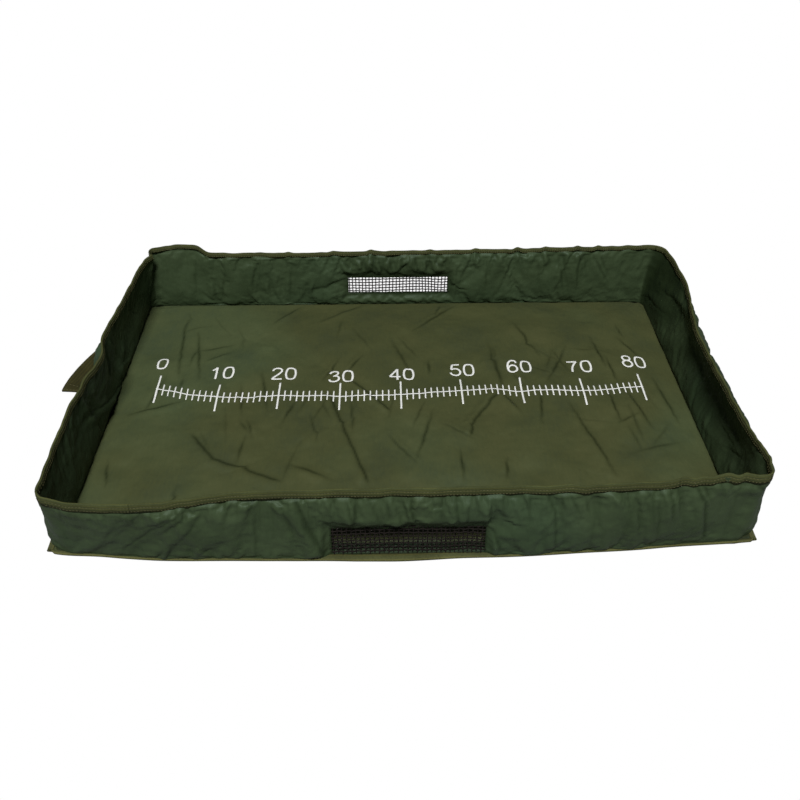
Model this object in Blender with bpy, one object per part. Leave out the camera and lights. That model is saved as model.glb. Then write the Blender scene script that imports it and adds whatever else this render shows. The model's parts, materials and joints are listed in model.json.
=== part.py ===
"""Unhooking mat for landed fish: a foam-padded floor inside four padded walls that fold flat.

The floor is a pad of its own: a waterproof base sheet and a crowned cover, sewn together round a
foam core, with a binding tape folded over the seam. Each wall is a foam board between two skins
and stands on the floor's flat margin, where it folds inward about its crease. The boards stop
short of the corners, so that all four walls can lie down together; unpadded cloth and a rim tape
carry the walls round each corner. The front and rear walls have a drain mesh sewn into a window.
A webbing strap is sewn to the outside of the left wall.

World frame: metres, +X along the long side, +Y to the rear, +Z up, origin under the middle of
the base sheet, on the plane that the mat lies on.
"""
import math

import bmesh
import bpy
import numpy as np

MM = 0.001

# Main sizes: the padded floor between the creases, and the rim above the ground
FLOOR_LENGTH = 936 * MM
FLOOR_WIDTH = 590 * MM
RIM_HEIGHT = 124 * MM
WALL_THICKNESS = 15 * MM

# Cloths, and the gap that neighbouring pieces keep
BASE_CLOTH = 0.8 * MM
COVER_CLOTH = 0.7 * MM
SKIN_CLOTH = 0.5 * MM
TAPE_CLOTH = 0.8 * MM
GAP = 0.3 * MM

# Floor pad: the flat margin that the walls stand on, then the crown of the cover
MARGIN_HEIGHT = 8.8 * MM
CROWN = 12 * MM
CROWN_RUN = 170 * MM
CROWN_CORNER = 60 * MM
PAD_REACH = 10.8 * MM
PAD_ROUND = 2 * MM

# Seam round the base: both cloths lie flat in it, under a folded binding tape
SEAM_LIP = 8 * MM
SEAM_CORNER = 16 * MM
SEAM_STEP = 1.8 * MM
BASE_TAPE_DEPTH = 10 * MM
BASE_TAPE_LIFT = 0.2 * MM

# Walls
FOOT_GAP = 0.5 * MM
FOAM_EDGE = 22 * MM
FOAM_CROWN = 1.4 * MM
FOAM_LIP = 0.4 * MM
RIM_TAPE_DEPTH = 12 * MM
FOLD_CLEAR = 2 * MM
SHORT_CORNER = 70 * MM
STATION_PITCH = 95 * MM
ROW_PITCH = 26 * MM

# Corners: unpadded cloth from one board's end round to the next board's end
CORNER_RADIUS = 22 * MM
CORNER_BOW = 5 * MM
CORNER_FOLD = 2.5 * MM

# Drain windows, and the mesh sewn into them
FRONT_WINDOW_WIDTH = 213 * MM
FRONT_WINDOW_LOW = 14 * MM
FRONT_WINDOW_HIGH = 50 * MM
REAR_WINDOW_WIDTH = 186 * MM
REAR_WINDOW_LOW = 32 * MM
REAR_WINDOW_HIGH = 62 * MM
WINDOW_MARGIN = 7 * MM
MESH_HEM = 5 * MM
MESH_CLOTH = 0.8 * MM
MESH_THREAD = 1.8 * MM
MESH_PITCH = 8 * MM

# Closure strap on the left wall: where it leaves its sewn patch, and how its free end lies
STRAP_WIDTH = 48 * MM
STRAP_CLOTH = 1.6 * MM
STRAP_LENGTH = 121 * MM
STRAP_HEM = 20 * MM
STRAP_PATCH = 38 * MM
STRAP_ROOT_Y = 85 * MM
STRAP_ROOT_HEIGHT = 62 * MM
STRAP_FLARE = 34 * MM
STRAP_DROP = 3 * MM
STRAP_TILT = math.radians(70)

# Sizes worked out from those above
HALF_LENGTH = FLOOR_LENGTH / 2
HALF_WIDTH = FLOOR_WIDTH / 2
HINGE_HEIGHT = MARGIN_HEIGHT + GAP
WALL_RISE = RIM_HEIGHT - TAPE_CLOTH - GAP - HINGE_HEIGHT
WALL_MIDDLE = WALL_THICKNESS / 2
PINCH_HALF = FOAM_LIP + GAP
FOAM_HALF = WALL_MIDDLE - 2 * SKIN_CLOTH - GAP
TAPE_INSIDE = PINCH_HALF + SKIN_CLOTH + GAP
TAPE_OUTSIDE = TAPE_INSIDE + TAPE_CLOTH
SWEEP = math.hypot(RIM_HEIGHT - HINGE_HEIGHT, WALL_MIDDLE + TAPE_OUTSIDE)
LONG_BOARD_HALF = HALF_LENGTH - SWEEP - FOLD_CLEAR
SHORT_BOARD_HALF = HALF_WIDTH - SHORT_CORNER
SEAM_OUTSET = WALL_THICKNESS + SEAM_LIP
SEAM_SHEET_LOW = BASE_TAPE_LIFT + TAPE_CLOTH + GAP
SEAM_COVER_LOW = SEAM_SHEET_LOW + BASE_CLOTH + GAP
SEAM_COVER_HIGH = SEAM_COVER_LOW + COVER_CLOTH
LIP_OUTSET = SEAM_OUTSET - TAPE_CLOTH - GAP

# Shares, chosen by hand, of the sizes that they follow
CROWN_RUN_SHARES = (0.08, 0.2, 0.36, 0.56, 0.78, 1.0)
FOAM_EDGE_SHARES = (0.06, 0.3, 1.0)
PAD_ROUND_SHARE = 0.3
CORE_ROUND_SHARE = 0.5
WINDOW_SIDE_SHARE = 0.5
WINDOW_HEAD_SHARE = 0.33
SHORT_BOW_SHARE = 0.5
CORNER_RISE_SHARES = (0.0, 0.35, 0.7, 0.9, 1.0)
CORNER_FOLDS = 2
CORNER_STEPS = 5
ARC_STEPS = 4
LONG_STEPS = 10
SHORT_STEPS = 3
STRAP_STEPS = 13
FLARE_POWER = 1.4
TILT_POWER = 1.5


def clear_scene():
    """Remove whatever objects the scene starts with."""
    for item in list(bpy.data.objects):
        bpy.data.objects.remove(item, do_unlink=True)


def make_material(name, colour, roughness, metallic=0.0):
    """One Principled material in a plain colour."""
    material = bpy.data.materials.new(name)
    material.use_nodes = True
    shader = material.node_tree.nodes["Principled BSDF"]
    shader.inputs["Base Color"].default_value = (*colour, 1.0)
    shader.inputs["Roughness"].default_value = roughness
    shader.inputs["Metallic"].default_value = metallic
    material.diffuse_color = (*colour, 1.0)
    return material


def make_object(name, mesh_data, material, parent=None):
    """Put a bmesh into the scene as one named object, with faces outwards and smooth shading."""
    bmesh.ops.recalc_face_normals(mesh_data, faces=mesh_data.faces)
    mesh = bpy.data.meshes.new(name)
    mesh_data.to_mesh(mesh)
    mesh_data.free()
    mesh.materials.append(material)
    mesh.shade_smooth()
    mesh.set_sharp_from_angle(angle=math.radians(35))
    item = bpy.data.objects.new(name, mesh)
    bpy.context.scene.collection.objects.link(item)
    item.parent = parent
    return item


def make_hinge(name, location, turn):
    """An empty on a wall's crease: its X runs along the crease and its Y points outwards."""
    hinge = bpy.data.objects.new(name, None)
    bpy.context.scene.collection.objects.link(hinge)
    hinge.location = location
    hinge.rotation_euler = (0.0, 0.0, turn)
    return hinge


def grid_solid(front, back, keep):
    """Closed mesh between two point grids: the kept cells of the front one, extruded to the back."""
    mesh_data = bmesh.new()
    place = mesh_data.verts.layers.int.new("place")
    rows, columns = keep.shape
    corners = {}
    for row, column in zip(*np.nonzero(keep)):
        for step_row, step_column in ((0, 0), (0, 1), (1, 1), (1, 0)):
            key = (row + step_row, column + step_column)
            if key not in corners:
                corners[key] = mesh_data.verts.new(front[key])
                corners[key][place] = key[0] * (columns + 1) + key[1]
    for row, column in zip(*np.nonzero(keep)):
        cell = ((row, column), (row, column + 1), (row + 1, column + 1), (row + 1, column))
        mesh_data.faces.new([corners[key] for key in cell])
    extruded = bmesh.ops.extrude_face_region(mesh_data, geom=mesh_data.faces[:])
    for element in extruded["geom"]:
        if isinstance(element, bmesh.types.BMVert):
            element.co = back[divmod(element[place], columns + 1)]
    return mesh_data


def ring_solid(rings, joined=False):
    """Closed mesh through rings of points, with capped ends, or with the ends joined to each other."""
    mesh_data = bmesh.new()
    loops = [[mesh_data.verts.new(point) for point in ring] for ring in rings]
    pairs = list(zip(loops, loops[1:]))
    if joined:
        pairs.append((loops[-1], loops[0]))
    else:
        mesh_data.faces.new(loops[0])
        mesh_data.faces.new(loops[-1])
    for low, high in pairs:
        for index in range(len(low)):
            after = (index + 1) % len(low)
            mesh_data.faces.new((low[index], low[after], high[after], high[index]))
    return mesh_data


def rounded_rectangle(half_x, half_y, radius, height):
    """Ring of points: a rectangle with rounded corners, at one height."""
    turns = np.linspace(0.0, math.pi / 2, CORNER_STEPS)
    ring = []
    for quarter, (side_x, side_y) in enumerate(((1, 1), (-1, 1), (-1, -1), (1, -1))):
        centre_x = side_x * (half_x - radius)
        centre_y = side_y * (half_y - radius)
        for turn in turns + quarter * math.pi / 2:
            ring.append((centre_x + radius * math.cos(turn), centre_y + radius * math.sin(turn), height))
    return ring


def offset_profile(profile, distance):
    """Move each point of an open profile sideways, to its left, square to the run through it."""
    points = np.array(profile)
    runs = np.gradient(points, axis=0)
    normals = np.stack((-runs[:, 1], runs[:, 0]), axis=1)
    return points + distance * normals / np.linalg.norm(normals, axis=1)[:, None]


def floor_rings(profile):
    """Rings of the floor's outline: each profile point is an outset from the crease and a height."""
    rings = []
    for outset, height in profile:
        inset = max(-outset, 0.0)
        radius = SEAM_CORNER + CROWN_CORNER * inset / CROWN_RUN
        rings.append(rounded_rectangle(HALF_LENGTH + outset, HALF_WIDTH + outset, radius, height))
    return rings


def cover_profile():
    """Outer side of the floor cover, from the middle out: crown, flat margin, side and seam lip."""
    profile = []
    for share in reversed(CROWN_RUN_SHARES):
        rise = CROWN * math.sin(share * math.pi / 2)
        profile.append((-share * CROWN_RUN, MARGIN_HEIGHT + rise))
    side = PAD_REACH
    profile.append((0.0, MARGIN_HEIGHT))
    profile.append((side - PAD_ROUND, MARGIN_HEIGHT))
    cut = PAD_ROUND * PAD_ROUND_SHARE
    profile.append((side - cut, MARGIN_HEIGHT - cut))
    profile.append((side, MARGIN_HEIGHT - PAD_ROUND))
    profile.append((side, SEAM_COVER_HIGH + COVER_CLOTH))
    profile.append((side + COVER_CLOTH, SEAM_COVER_HIGH))
    profile.append((LIP_OUTSET, SEAM_COVER_HIGH))
    return profile


def make_floor(materials):
    """Base sheet, foam core, crowned cover and the tape over their seam."""
    outer = cover_profile()
    inner = offset_profile(outer, -COVER_CLOTH)
    cover = floor_rings(outer) + floor_rings(inner[::-1])
    make_object("floor_cover", ring_solid(cover), materials["floor_nylon"])

    core_side = offset_profile(outer[:-2], -COVER_CLOTH - GAP)
    core_low = BASE_CLOTH + GAP
    core_round = PAD_ROUND * CORE_ROUND_SHARE
    core = [*core_side[:-1], (core_side[-1][0], core_low + core_round)]
    core.append((core_side[-1][0] - core_round, core_low))
    make_object("floor_core", ring_solid(floor_rings(core)), materials["foam"])

    step_in = PAD_REACH - COVER_CLOTH
    step_out = step_in + SEAM_STEP
    under = [(step_in, 0.0), (step_out, SEAM_SHEET_LOW), (LIP_OUTSET, SEAM_SHEET_LOW)]
    over = [(outset, height + BASE_CLOTH) for outset, height in under]
    make_object("base_sheet", ring_solid(floor_rings(under + over[::-1])), materials["base_sheet"])

    middle = (SEAM_SHEET_LOW + SEAM_COVER_HIGH) / 2
    section = tape_section((SEAM_COVER_HIGH - SEAM_SHEET_LOW) / 2 + GAP, BASE_TAPE_DEPTH)
    rings = []
    for across, along in section:
        outset = SEAM_OUTSET - TAPE_CLOTH - GAP - along
        rings.extend(floor_rings([(outset, middle + across)]))
    make_object("base_tape", ring_solid(rings, joined=True), materials["base_tape"])


def tape_section(inside, depth):
    """Folded tape as a closed loop of (across, down) places: a half-round fold and two legs.

    Down is measured from the sheet's own edge, so that the fold lies beyond it on the far side.
    """
    outside = inside + TAPE_CLOTH
    fold = inside - GAP
    turns = np.linspace(math.pi, 0.0, ARC_STEPS + 1)
    legs = depth - GAP - TAPE_CLOTH
    flat = (GAP + TAPE_CLOTH) / outside
    inner_flat = GAP / inside
    outer_arc = [(outside * math.cos(turn), -outside * flat * math.sin(turn)) for turn in turns]
    inner_arc = [(inside * math.cos(turn), -inside * inner_flat * math.sin(turn)) for turn in turns[::-1]]
    return [(-outside, legs), *outer_arc, (outside, legs), (inside, legs), *inner_arc, (-inside, legs)]


def stations(ends, inner_places, pitch):
    """Sorted places from one end to the other through the given ones, filled so none is far apart."""
    places = sorted({ends[0], ends[1], *inner_places})
    filled = [places[0]]
    for place in places[1:]:
        count = max(1, math.ceil((place - filled[-1]) / pitch))
        filled.extend(np.linspace(filled[-1], place, count + 1)[1:])
    return np.array(filled)


class Wall:
    """One padded wall in its own frame: X along the crease, Y outwards, Z up from the hinge."""

    def __init__(self, board_half, window=None):
        self.board_half = board_half
        self.foot = FOOT_GAP + FOAM_LIP
        self.head = WALL_RISE - RIM_TAPE_DEPTH
        self.window = window
        edges = [share * FOAM_EDGE for share in FOAM_EDGE_SHARES]
        along = [side * (board_half - edge) for edge in edges for side in (-1, 1)]
        up = [self.foot, *(self.foot + edge for edge in edges)]
        up += [self.head, *(self.head - edge for edge in edges)]
        if window:
            half, low, high = window
            reach = half + WINDOW_MARGIN
            beside = reach + FOAM_EDGE * WINDOW_SIDE_SHARE
            above = high + WINDOW_MARGIN + FOAM_EDGE * WINDOW_HEAD_SHARE
            along += [side * place for place in (half, reach, beside) for side in (-1, 1)]
            up = [place for place in up if not low - WINDOW_MARGIN < place < high + WINDOW_MARGIN]
            up += [low, high, high + WINDOW_MARGIN, above]
            if low - WINDOW_MARGIN > self.foot:
                up += [low - WINDOW_MARGIN]
        self.along = stations((-board_half, board_half), along, STATION_PITCH)
        self.up = stations((FOOT_GAP, WALL_RISE), up, ROW_PITCH)
        self.grid_x, self.grid_z = np.meshgrid(self.along, self.up)

    def edge_distance(self, across, height):
        """How far inside the foam a place is: from the board's edges and from the window's border."""
        upright = np.minimum(height - self.foot, self.head - height)
        distance = np.minimum(self.board_half - np.abs(across), upright)
        if self.window:
            half, low, high = self.window
            beside = np.abs(across) - half - WINDOW_MARGIN
            beyond = np.maximum(low - WINDOW_MARGIN - height, height - high - WINDOW_MARGIN)
            distance = np.minimum(distance, np.maximum(beside, beyond))
        return distance

    def foam_half(self):
        """Half the foam's thickness on the grid: rounded off along its edges, and plump in the middle."""
        share = np.clip(self.edge_distance(self.grid_x, self.grid_z) / FOAM_EDGE, 0.0, 1.0)
        rounding = np.sqrt(1.0 - (1.0 - share) ** 2)
        middle = (self.foot + self.head) / 2
        swell = 1.0 - ((self.grid_z - middle) / (self.head - middle)) ** 2
        thick = FOAM_HALF - FOAM_CROWN + FOAM_CROWN * np.clip(swell, 0.0, 1.0)
        return np.maximum(thick * rounding, FOAM_LIP)

    def cell_middles(self):
        """Middle of each grid cell, as two arrays."""
        across = (self.along[1:] + self.along[:-1]) / 2
        height = (self.up[1:] + self.up[:-1]) / 2
        return np.meshgrid(across, height)

    def surface(self, depth):
        """Grid points at the given depth from the wall's middle plane, positive outwards."""
        return np.stack((self.grid_x, WALL_MIDDLE + depth, self.grid_z), axis=2)

    def core(self):
        """The foam board, with a hole or a notch round the window."""
        half = self.foam_half()
        keep = self.edge_distance(*self.cell_middles()) > 0.0
        return grid_solid(self.surface(half), self.surface(-half), keep)

    def skin(self, side):
        """One cloth face of the wall, a gap clear of the foam; side is 1 outside and -1 inside."""
        near = self.foam_half() + GAP
        across, height = self.cell_middles()
        keep = np.ones(across.shape, dtype=bool)
        if self.window:
            half, low, high = self.window
            keep = ~((np.abs(across) < half) & (height > low) & (height < high))
        return grid_solid(self.surface(side * near), self.surface(side * (near + SKIN_CLOTH)), keep)

    def mesh(self):
        """The drain mesh: a grid of threads with open gaps, and a hem that the skins hold."""
        half, low, high = self.window
        columns = max(2, round(2 * half / MESH_PITCH))
        rows = max(2, round((high - low) / MESH_PITCH))
        across = thread_places(-half, half, columns)
        height = thread_places(low, high, rows)
        grid_x, grid_z = np.meshgrid(across, height)
        keep = np.ones((len(height) - 1, len(across) - 1), dtype=bool)
        keep[1::2, 1::2] = False
        near = np.stack((grid_x, np.full_like(grid_x, WALL_MIDDLE - MESH_CLOTH / 2), grid_z), axis=2)
        far = np.stack((grid_x, np.full_like(grid_x, WALL_MIDDLE + MESH_CLOTH / 2), grid_z), axis=2)
        return grid_solid(near, far, keep)

    def rim_tape(self):
        """Folded tape over the wall's top edge, as long as the board."""
        rings = []
        for end in (-self.board_half, self.board_half):
            section = tape_section(TAPE_INSIDE, RIM_TAPE_DEPTH)
            rings.append([(end, WALL_MIDDLE + across, WALL_RISE - down) for across, down in section])
        return ring_solid(rings)


def thread_places(low, high, count):
    """Edges of the threads and gaps from low to high, with a hem beyond each end."""
    pitch = (high - low) / count
    places = [low - MESH_HEM]
    for index in range(count):
        start = low + index * pitch
        places += [start + MESH_THREAD / 2, start + pitch - MESH_THREAD / 2]
    places.append(high + MESH_HEM)
    return np.array(places)


def make_wall(name, wall, hinge, materials, mesh_name=None):
    """The nodes of one wall, parented to the empty on its crease."""
    make_object(name + "_core", wall.core(), materials["foam"], hinge)
    make_object(name + "_outer_skin", wall.skin(1), materials["wall_nylon"], hinge)
    make_object(name + "_inner_skin", wall.skin(-1), materials["wall_nylon"], hinge)
    make_object(name.replace("_wall", "_rim_tape"), wall.rim_tape(), materials["rim_tape"], hinge)
    if mesh_name:
        make_object(mesh_name, wall.mesh(), materials["drain_mesh"], hinge)


def corner_swell(share):
    """How far the unpadded cloth stands out at its rim: one broad bow, with upright folds on it."""
    bow = CORNER_BOW * math.sin(math.pi * share) ** 2
    fold = CORNER_FOLD * math.sin(math.pi * share) * math.sin(2 * math.pi * CORNER_FOLDS * share)
    return bow + fold


def corner_path(side_x, side_y):
    """Plan of a corner from the long board's end to the short board's end: places, outwards, swells."""
    line_x = HALF_LENGTH + WALL_MIDDLE
    line_y = HALF_WIDTH + WALL_MIDDLE
    path = []
    for share in np.linspace(0.0, 1.0, LONG_STEPS + 1)[:-1]:
        start = LONG_BOARD_HALF + GAP
        along = start + share * (line_x - CORNER_RADIUS - start)
        path.append(((along, line_y), (0.0, 1.0), corner_swell(share)))
    for turn in np.linspace(math.pi / 2, 0.0, ARC_STEPS + 1):
        outward = (math.cos(turn), math.sin(turn))
        centre = (line_x - CORNER_RADIUS, line_y - CORNER_RADIUS)
        place = (centre[0] + CORNER_RADIUS * outward[0], centre[1] + CORNER_RADIUS * outward[1])
        path.append((place, outward, 0.0))
    for share in np.linspace(0.0, 1.0, SHORT_STEPS + 1)[1:]:
        end = SHORT_BOARD_HALF + GAP
        along = line_y - CORNER_RADIUS - share * (line_y - CORNER_RADIUS - end)
        swell = CORNER_BOW * SHORT_BOW_SHARE * math.sin(math.pi * share) ** 2
        path.append(((line_x, along), (1.0, 0.0), swell))
    places = np.array([place for place, outward, swell in path]) * (side_x, side_y)
    outwards = np.array([outward for place, outward, swell in path]) * (side_x, side_y)
    swells = np.array([swell for place, outward, swell in path])
    return places, outwards, swells


def corner_cloth(places, outwards, swells):
    """Unpadded end of a wall: a double cloth that stands on the margin and bows out towards the rim."""
    low = HINGE_HEIGHT + FOOT_GAP
    heights = [low + share * (HINGE_HEIGHT + WALL_RISE - low) for share in CORNER_RISE_SHARES]
    rises = [math.sin(share * math.pi / 2) for share in CORNER_RISE_SHARES]
    half = PINCH_HALF + SKIN_CLOTH
    sides = []
    for side in (1, -1):
        rows = []
        for height, rise in zip(heights, rises):
            plan = places + outwards * (rise * swells + side * half)[:, None]
            rows.append(np.column_stack((plan, np.full(len(plan), height))))
        sides.append(np.array(rows))
    keep = np.ones((len(heights) - 1, len(places) - 1), dtype=bool)
    return grid_solid(sides[0], sides[1], keep)


def make_corner(side_x, side_y, materials):
    """The two unpadded wall ends that meet at one corner, and the rim tape that runs round it."""
    end_x = "right" if side_x > 0 else "left"
    end_y = "rear" if side_y > 0 else "front"
    places, outwards, swells = corner_path(side_x, side_y)
    half_way = LONG_STEPS + ARC_STEPS // 2
    step = places[half_way + 1] - places[half_way]
    parted = places[half_way] + step * GAP / np.linalg.norm(step)
    long_end = (places[:half_way + 1], outwards[:half_way + 1], swells[:half_way + 1])
    short_places = np.vstack((parted, places[half_way + 1:]))
    short_end = (short_places, outwards[half_way:], swells[half_way:])
    make_object(end_y + "_wall_" + end_x + "_end", corner_cloth(*long_end), materials["wall_nylon"])
    make_object(end_x + "_wall_" + end_y + "_end", corner_cloth(*short_end), materials["wall_nylon"])

    rings = []
    section = tape_section(TAPE_INSIDE, RIM_TAPE_DEPTH)
    rim = HINGE_HEIGHT + WALL_RISE
    for place, outward, swell in zip(places, outwards, swells):
        ring = []
        for across, down in section:
            plan = place + outward * (swell + across)
            ring.append((plan[0], plan[1], rim - down))
        rings.append(ring)
    make_object(end_y + "_" + end_x + "_corner_tape", ring_solid(rings), materials["rim_tape"])


def strap_ring(share, thickness):
    """Rectangle of webbing at a share of the strap's length, in the frame of the strap's hinge.

    Y runs outwards from the wall, X to the rear. The strap runs to the front, flares out and
    turns its lower edge outwards until it lies nearly level at its free end.
    """
    out = STRAP_FLARE * share ** FLARE_POWER - STRAP_CLOTH / 2
    tilt = STRAP_TILT * share ** TILT_POWER
    centre = np.array((-GAP - STRAP_LENGTH * share, out, -STRAP_DROP * share))
    upward = np.array((0.0, -math.sin(tilt), math.cos(tilt))) * STRAP_WIDTH / 2
    across = np.array((0.0, math.cos(tilt), math.sin(tilt))) * thickness / 2
    upper = [centre + upward + across, centre + upward - across]
    return upper + [centre - upward - across, centre - upward + across]


def make_strap(left_hinge, materials):
    """The sewn patch on the left wall's outer skin, and the free strap that swings beside it."""
    face = WALL_MIDDLE + FOAM_HALF + GAP + SKIN_CLOTH + GAP
    root = (STRAP_ROOT_Y, face + STRAP_CLOTH, STRAP_ROOT_HEIGHT - HINGE_HEIGHT)
    patch_turn = make_hinge("strap_hinge", root, 0.0)
    patch_turn.parent = left_hinge
    rings = []
    for end in (GAP, GAP + STRAP_PATCH):
        low = -STRAP_WIDTH / 2
        high = STRAP_WIDTH / 2
        rings.append([(end, 0.0, high), (end, -STRAP_CLOTH, high), (end, -STRAP_CLOTH, low), (end, 0.0, low)])
    make_object("strap_patch", ring_solid(rings), materials["webbing"], patch_turn)

    hem_share = 1.0 - STRAP_HEM / STRAP_LENGTH
    shares = [*np.linspace(0.0, hem_share, STRAP_STEPS), hem_share + GAP / STRAP_LENGTH, 1.0]
    rings = []
    for index, share in enumerate(shares):
        thickness = STRAP_CLOTH * (2 if index >= STRAP_STEPS else 1)
        rings.append(strap_ring(share, thickness))
    free_strap = ring_solid(rings)
    bmesh.ops.triangulate(free_strap, faces=free_strap.faces)
    make_object("closure_strap", free_strap, materials["webbing"], patch_turn)


def main():
    """Build the whole mat."""
    clear_scene()
    materials = {
        "floor_nylon": make_material("floor_nylon", (0.060, 0.072, 0.031), 0.55),
        "wall_nylon": make_material("wall_nylon", (0.030, 0.048, 0.024), 0.5),
        "base_sheet": make_material("base_sheet", (0.012, 0.016, 0.010), 0.6),
        "foam": make_material("foam", (0.55, 0.55, 0.53), 0.9),
        "rim_tape": make_material("rim_tape", (0.064, 0.072, 0.030), 0.75),
        "base_tape": make_material("base_tape", (0.095, 0.102, 0.047), 0.75),
        "drain_mesh": make_material("drain_mesh", (0.010, 0.012, 0.008), 0.45),
        "webbing": make_material("webbing", (0.058, 0.058, 0.017), 0.8),
    }
    make_floor(materials)

    rear = make_hinge("rear_hinge", (0.0, HALF_WIDTH, HINGE_HEIGHT), 0.0)
    front = make_hinge("front_hinge", (0.0, -HALF_WIDTH, HINGE_HEIGHT), math.pi)
    left = make_hinge("left_hinge", (-HALF_LENGTH, 0.0, HINGE_HEIGHT), math.pi / 2)
    right = make_hinge("right_hinge", (HALF_LENGTH, 0.0, HINGE_HEIGHT), -math.pi / 2)
    front_window = (FRONT_WINDOW_WIDTH / 2, FRONT_WINDOW_LOW - HINGE_HEIGHT, FRONT_WINDOW_HIGH - HINGE_HEIGHT)
    rear_window = (REAR_WINDOW_WIDTH / 2, REAR_WINDOW_LOW - HINGE_HEIGHT, REAR_WINDOW_HIGH - HINGE_HEIGHT)
    make_wall("front_wall", Wall(LONG_BOARD_HALF, front_window), front, materials, "front_drain_mesh")
    make_wall("rear_wall", Wall(LONG_BOARD_HALF, rear_window), rear, materials, "rear_drain_mesh")
    make_wall("left_wall", Wall(SHORT_BOARD_HALF), left, materials)
    make_wall("right_wall", Wall(SHORT_BOARD_HALF), right, materials)

    for side_x in (-1, 1):
        for side_y in (-1, 1):
            make_corner(side_x, side_y, materials)
    make_strap(left, materials)


main()
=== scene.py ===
"""Unhooking mat: padded floor, four standing padded walls, bound rims, drain mesh and a strap."""
import json
import math

import bmesh
import bpy
import numpy as np
from mathutils import Matrix, Vector


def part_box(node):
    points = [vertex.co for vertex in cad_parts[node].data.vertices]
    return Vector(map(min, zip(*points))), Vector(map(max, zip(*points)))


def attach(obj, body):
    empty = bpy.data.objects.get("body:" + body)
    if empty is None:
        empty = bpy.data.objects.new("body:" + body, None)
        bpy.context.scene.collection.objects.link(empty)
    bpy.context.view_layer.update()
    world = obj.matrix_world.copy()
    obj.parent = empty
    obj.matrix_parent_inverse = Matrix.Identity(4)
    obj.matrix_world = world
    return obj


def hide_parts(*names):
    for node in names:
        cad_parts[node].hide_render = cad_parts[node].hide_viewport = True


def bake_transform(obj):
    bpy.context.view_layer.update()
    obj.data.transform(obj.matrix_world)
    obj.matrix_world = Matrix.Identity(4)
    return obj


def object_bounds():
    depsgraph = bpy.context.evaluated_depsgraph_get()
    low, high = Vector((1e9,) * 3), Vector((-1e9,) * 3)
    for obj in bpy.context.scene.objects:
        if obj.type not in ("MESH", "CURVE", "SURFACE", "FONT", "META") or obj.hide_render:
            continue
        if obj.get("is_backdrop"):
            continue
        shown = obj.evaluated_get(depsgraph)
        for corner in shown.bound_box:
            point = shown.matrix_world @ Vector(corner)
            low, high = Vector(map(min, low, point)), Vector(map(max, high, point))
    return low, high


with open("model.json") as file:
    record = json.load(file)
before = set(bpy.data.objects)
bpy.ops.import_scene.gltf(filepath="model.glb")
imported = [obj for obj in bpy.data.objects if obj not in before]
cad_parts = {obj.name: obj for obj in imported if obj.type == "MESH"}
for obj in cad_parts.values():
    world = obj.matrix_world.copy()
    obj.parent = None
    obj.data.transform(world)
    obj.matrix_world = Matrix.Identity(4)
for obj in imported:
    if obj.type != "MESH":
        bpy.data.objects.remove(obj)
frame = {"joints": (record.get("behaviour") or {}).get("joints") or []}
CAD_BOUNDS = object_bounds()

MM = 0.001

# Places taken from the frame: creases, board ends, rim and base edge
JOINT_PLACES = {joint["name"]: joint["pos_m"] for joint in frame["joints"]}
CREASE_X = abs(JOINT_PLACES["left_fold"][0])
CREASE_Y = abs(JOINT_PLACES["front_fold"][1])
HINGE_Z = JOINT_PLACES["front_fold"][2]
RIM_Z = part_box("front_rim_tape")[1].z
BOARD_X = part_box("front_rim_tape")[1].x
BOARD_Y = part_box("left_rim_tape")[1].y
BASE_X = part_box("base_tape")[1].x
BASE_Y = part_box("base_tape")[1].y
LIP_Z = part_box("base_tape")[1].z
CROWN_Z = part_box("floor_cover")[1].z

# The camera stands where the photograph's did: place in metres, turns in degrees
CAMERA_PLACE = (-0.025, -1.042, 0.884)
CAMERA_PITCH = 39.8
CAMERA_YAW = 1.28
CAMERA_ROLL = 0.22
CAMERA_FOCAL_PIXELS = 830.0
PICTURE_PIXELS = 800.0
SENSOR = 36.0

# Cloth and tape
WALL_MIDDLE = 7.5 * MM
RIM_HALF = 0.7 * MM
TAPE_HALF = 1.2 * MM
TAPE_CLOTH = 0.6 * MM
TAPE_DEPTH = 9.5 * MM
STITCH_LENGTH = 3.0 * MM
STITCH_PITCH = 4.2 * MM
WEAVE_PITCH = 0.45 * MM
CORNER_RADIUS = 22 * MM
CORNER_SLIDE = 11 * MM
FLOOR_STEP = 2.5 * MM
HEM_SHARE = 0.9
OUTER_FOOT = 20.2 * MM
INNER_FOOT = 0.6 * MM
PINCH_REACH = 15 * MM
# Where the gussets of the corners end: distance out from the crease, and height over it
GUSSET_TOP = (6.5 * MM, 17.0 * MM)
# How far settled cloth may move, and how far it may sink towards the foam
MOVE_CAP = 6 * MM
SINK_CAP = 2.4 * MM
# Share by which the gathers of the side walls' inner faces are smaller
INNER_CALM = 0.92
# Stretch of the closed run over which a noise is blended into its own start
CLOSING = 0.15
# Roundness of the floor's corners in plan
CORNER_POWER = 22

rng = np.random.default_rng(17)


def bell_row(reach, width):
    """Weights of a bell of the given width in steps, from -reach to reach."""
    return np.exp(-0.5 * (np.arange(-reach, reach + 1) / width) ** 2)


def smooth_noise(count, width):
    """A row of random heights, blurred with a bell of the given width in steps, at unit spread."""
    reach = int(4 * width) + 1
    row = np.convolve(rng.standard_normal(count + 2 * reach), bell_row(reach, width), mode="valid")
    return row / row.std()


def ring_noise(count, width):
    """Like smooth_noise, for a closed run: the two ends of the row meet."""
    rates = np.fft.rfftfreq(count) * 2 * math.pi * width
    row = np.fft.irfft(np.fft.rfft(rng.standard_normal(count)) * np.exp(-0.5 * rates ** 2), count)
    return row / row.std()


class NoiseLine:
    """Smooth random curve of one length in metres; waves is the size of its waves in metres."""

    def __init__(self, waves, reach=2.2):
        self.step = waves / 6
        self.row = smooth_noise(int(2 * reach / self.step), 1.6)
        self.reach = reach

    def __call__(self, place):
        return np.interp(place, np.linspace(-self.reach, self.reach, len(self.row)), self.row)


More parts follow.
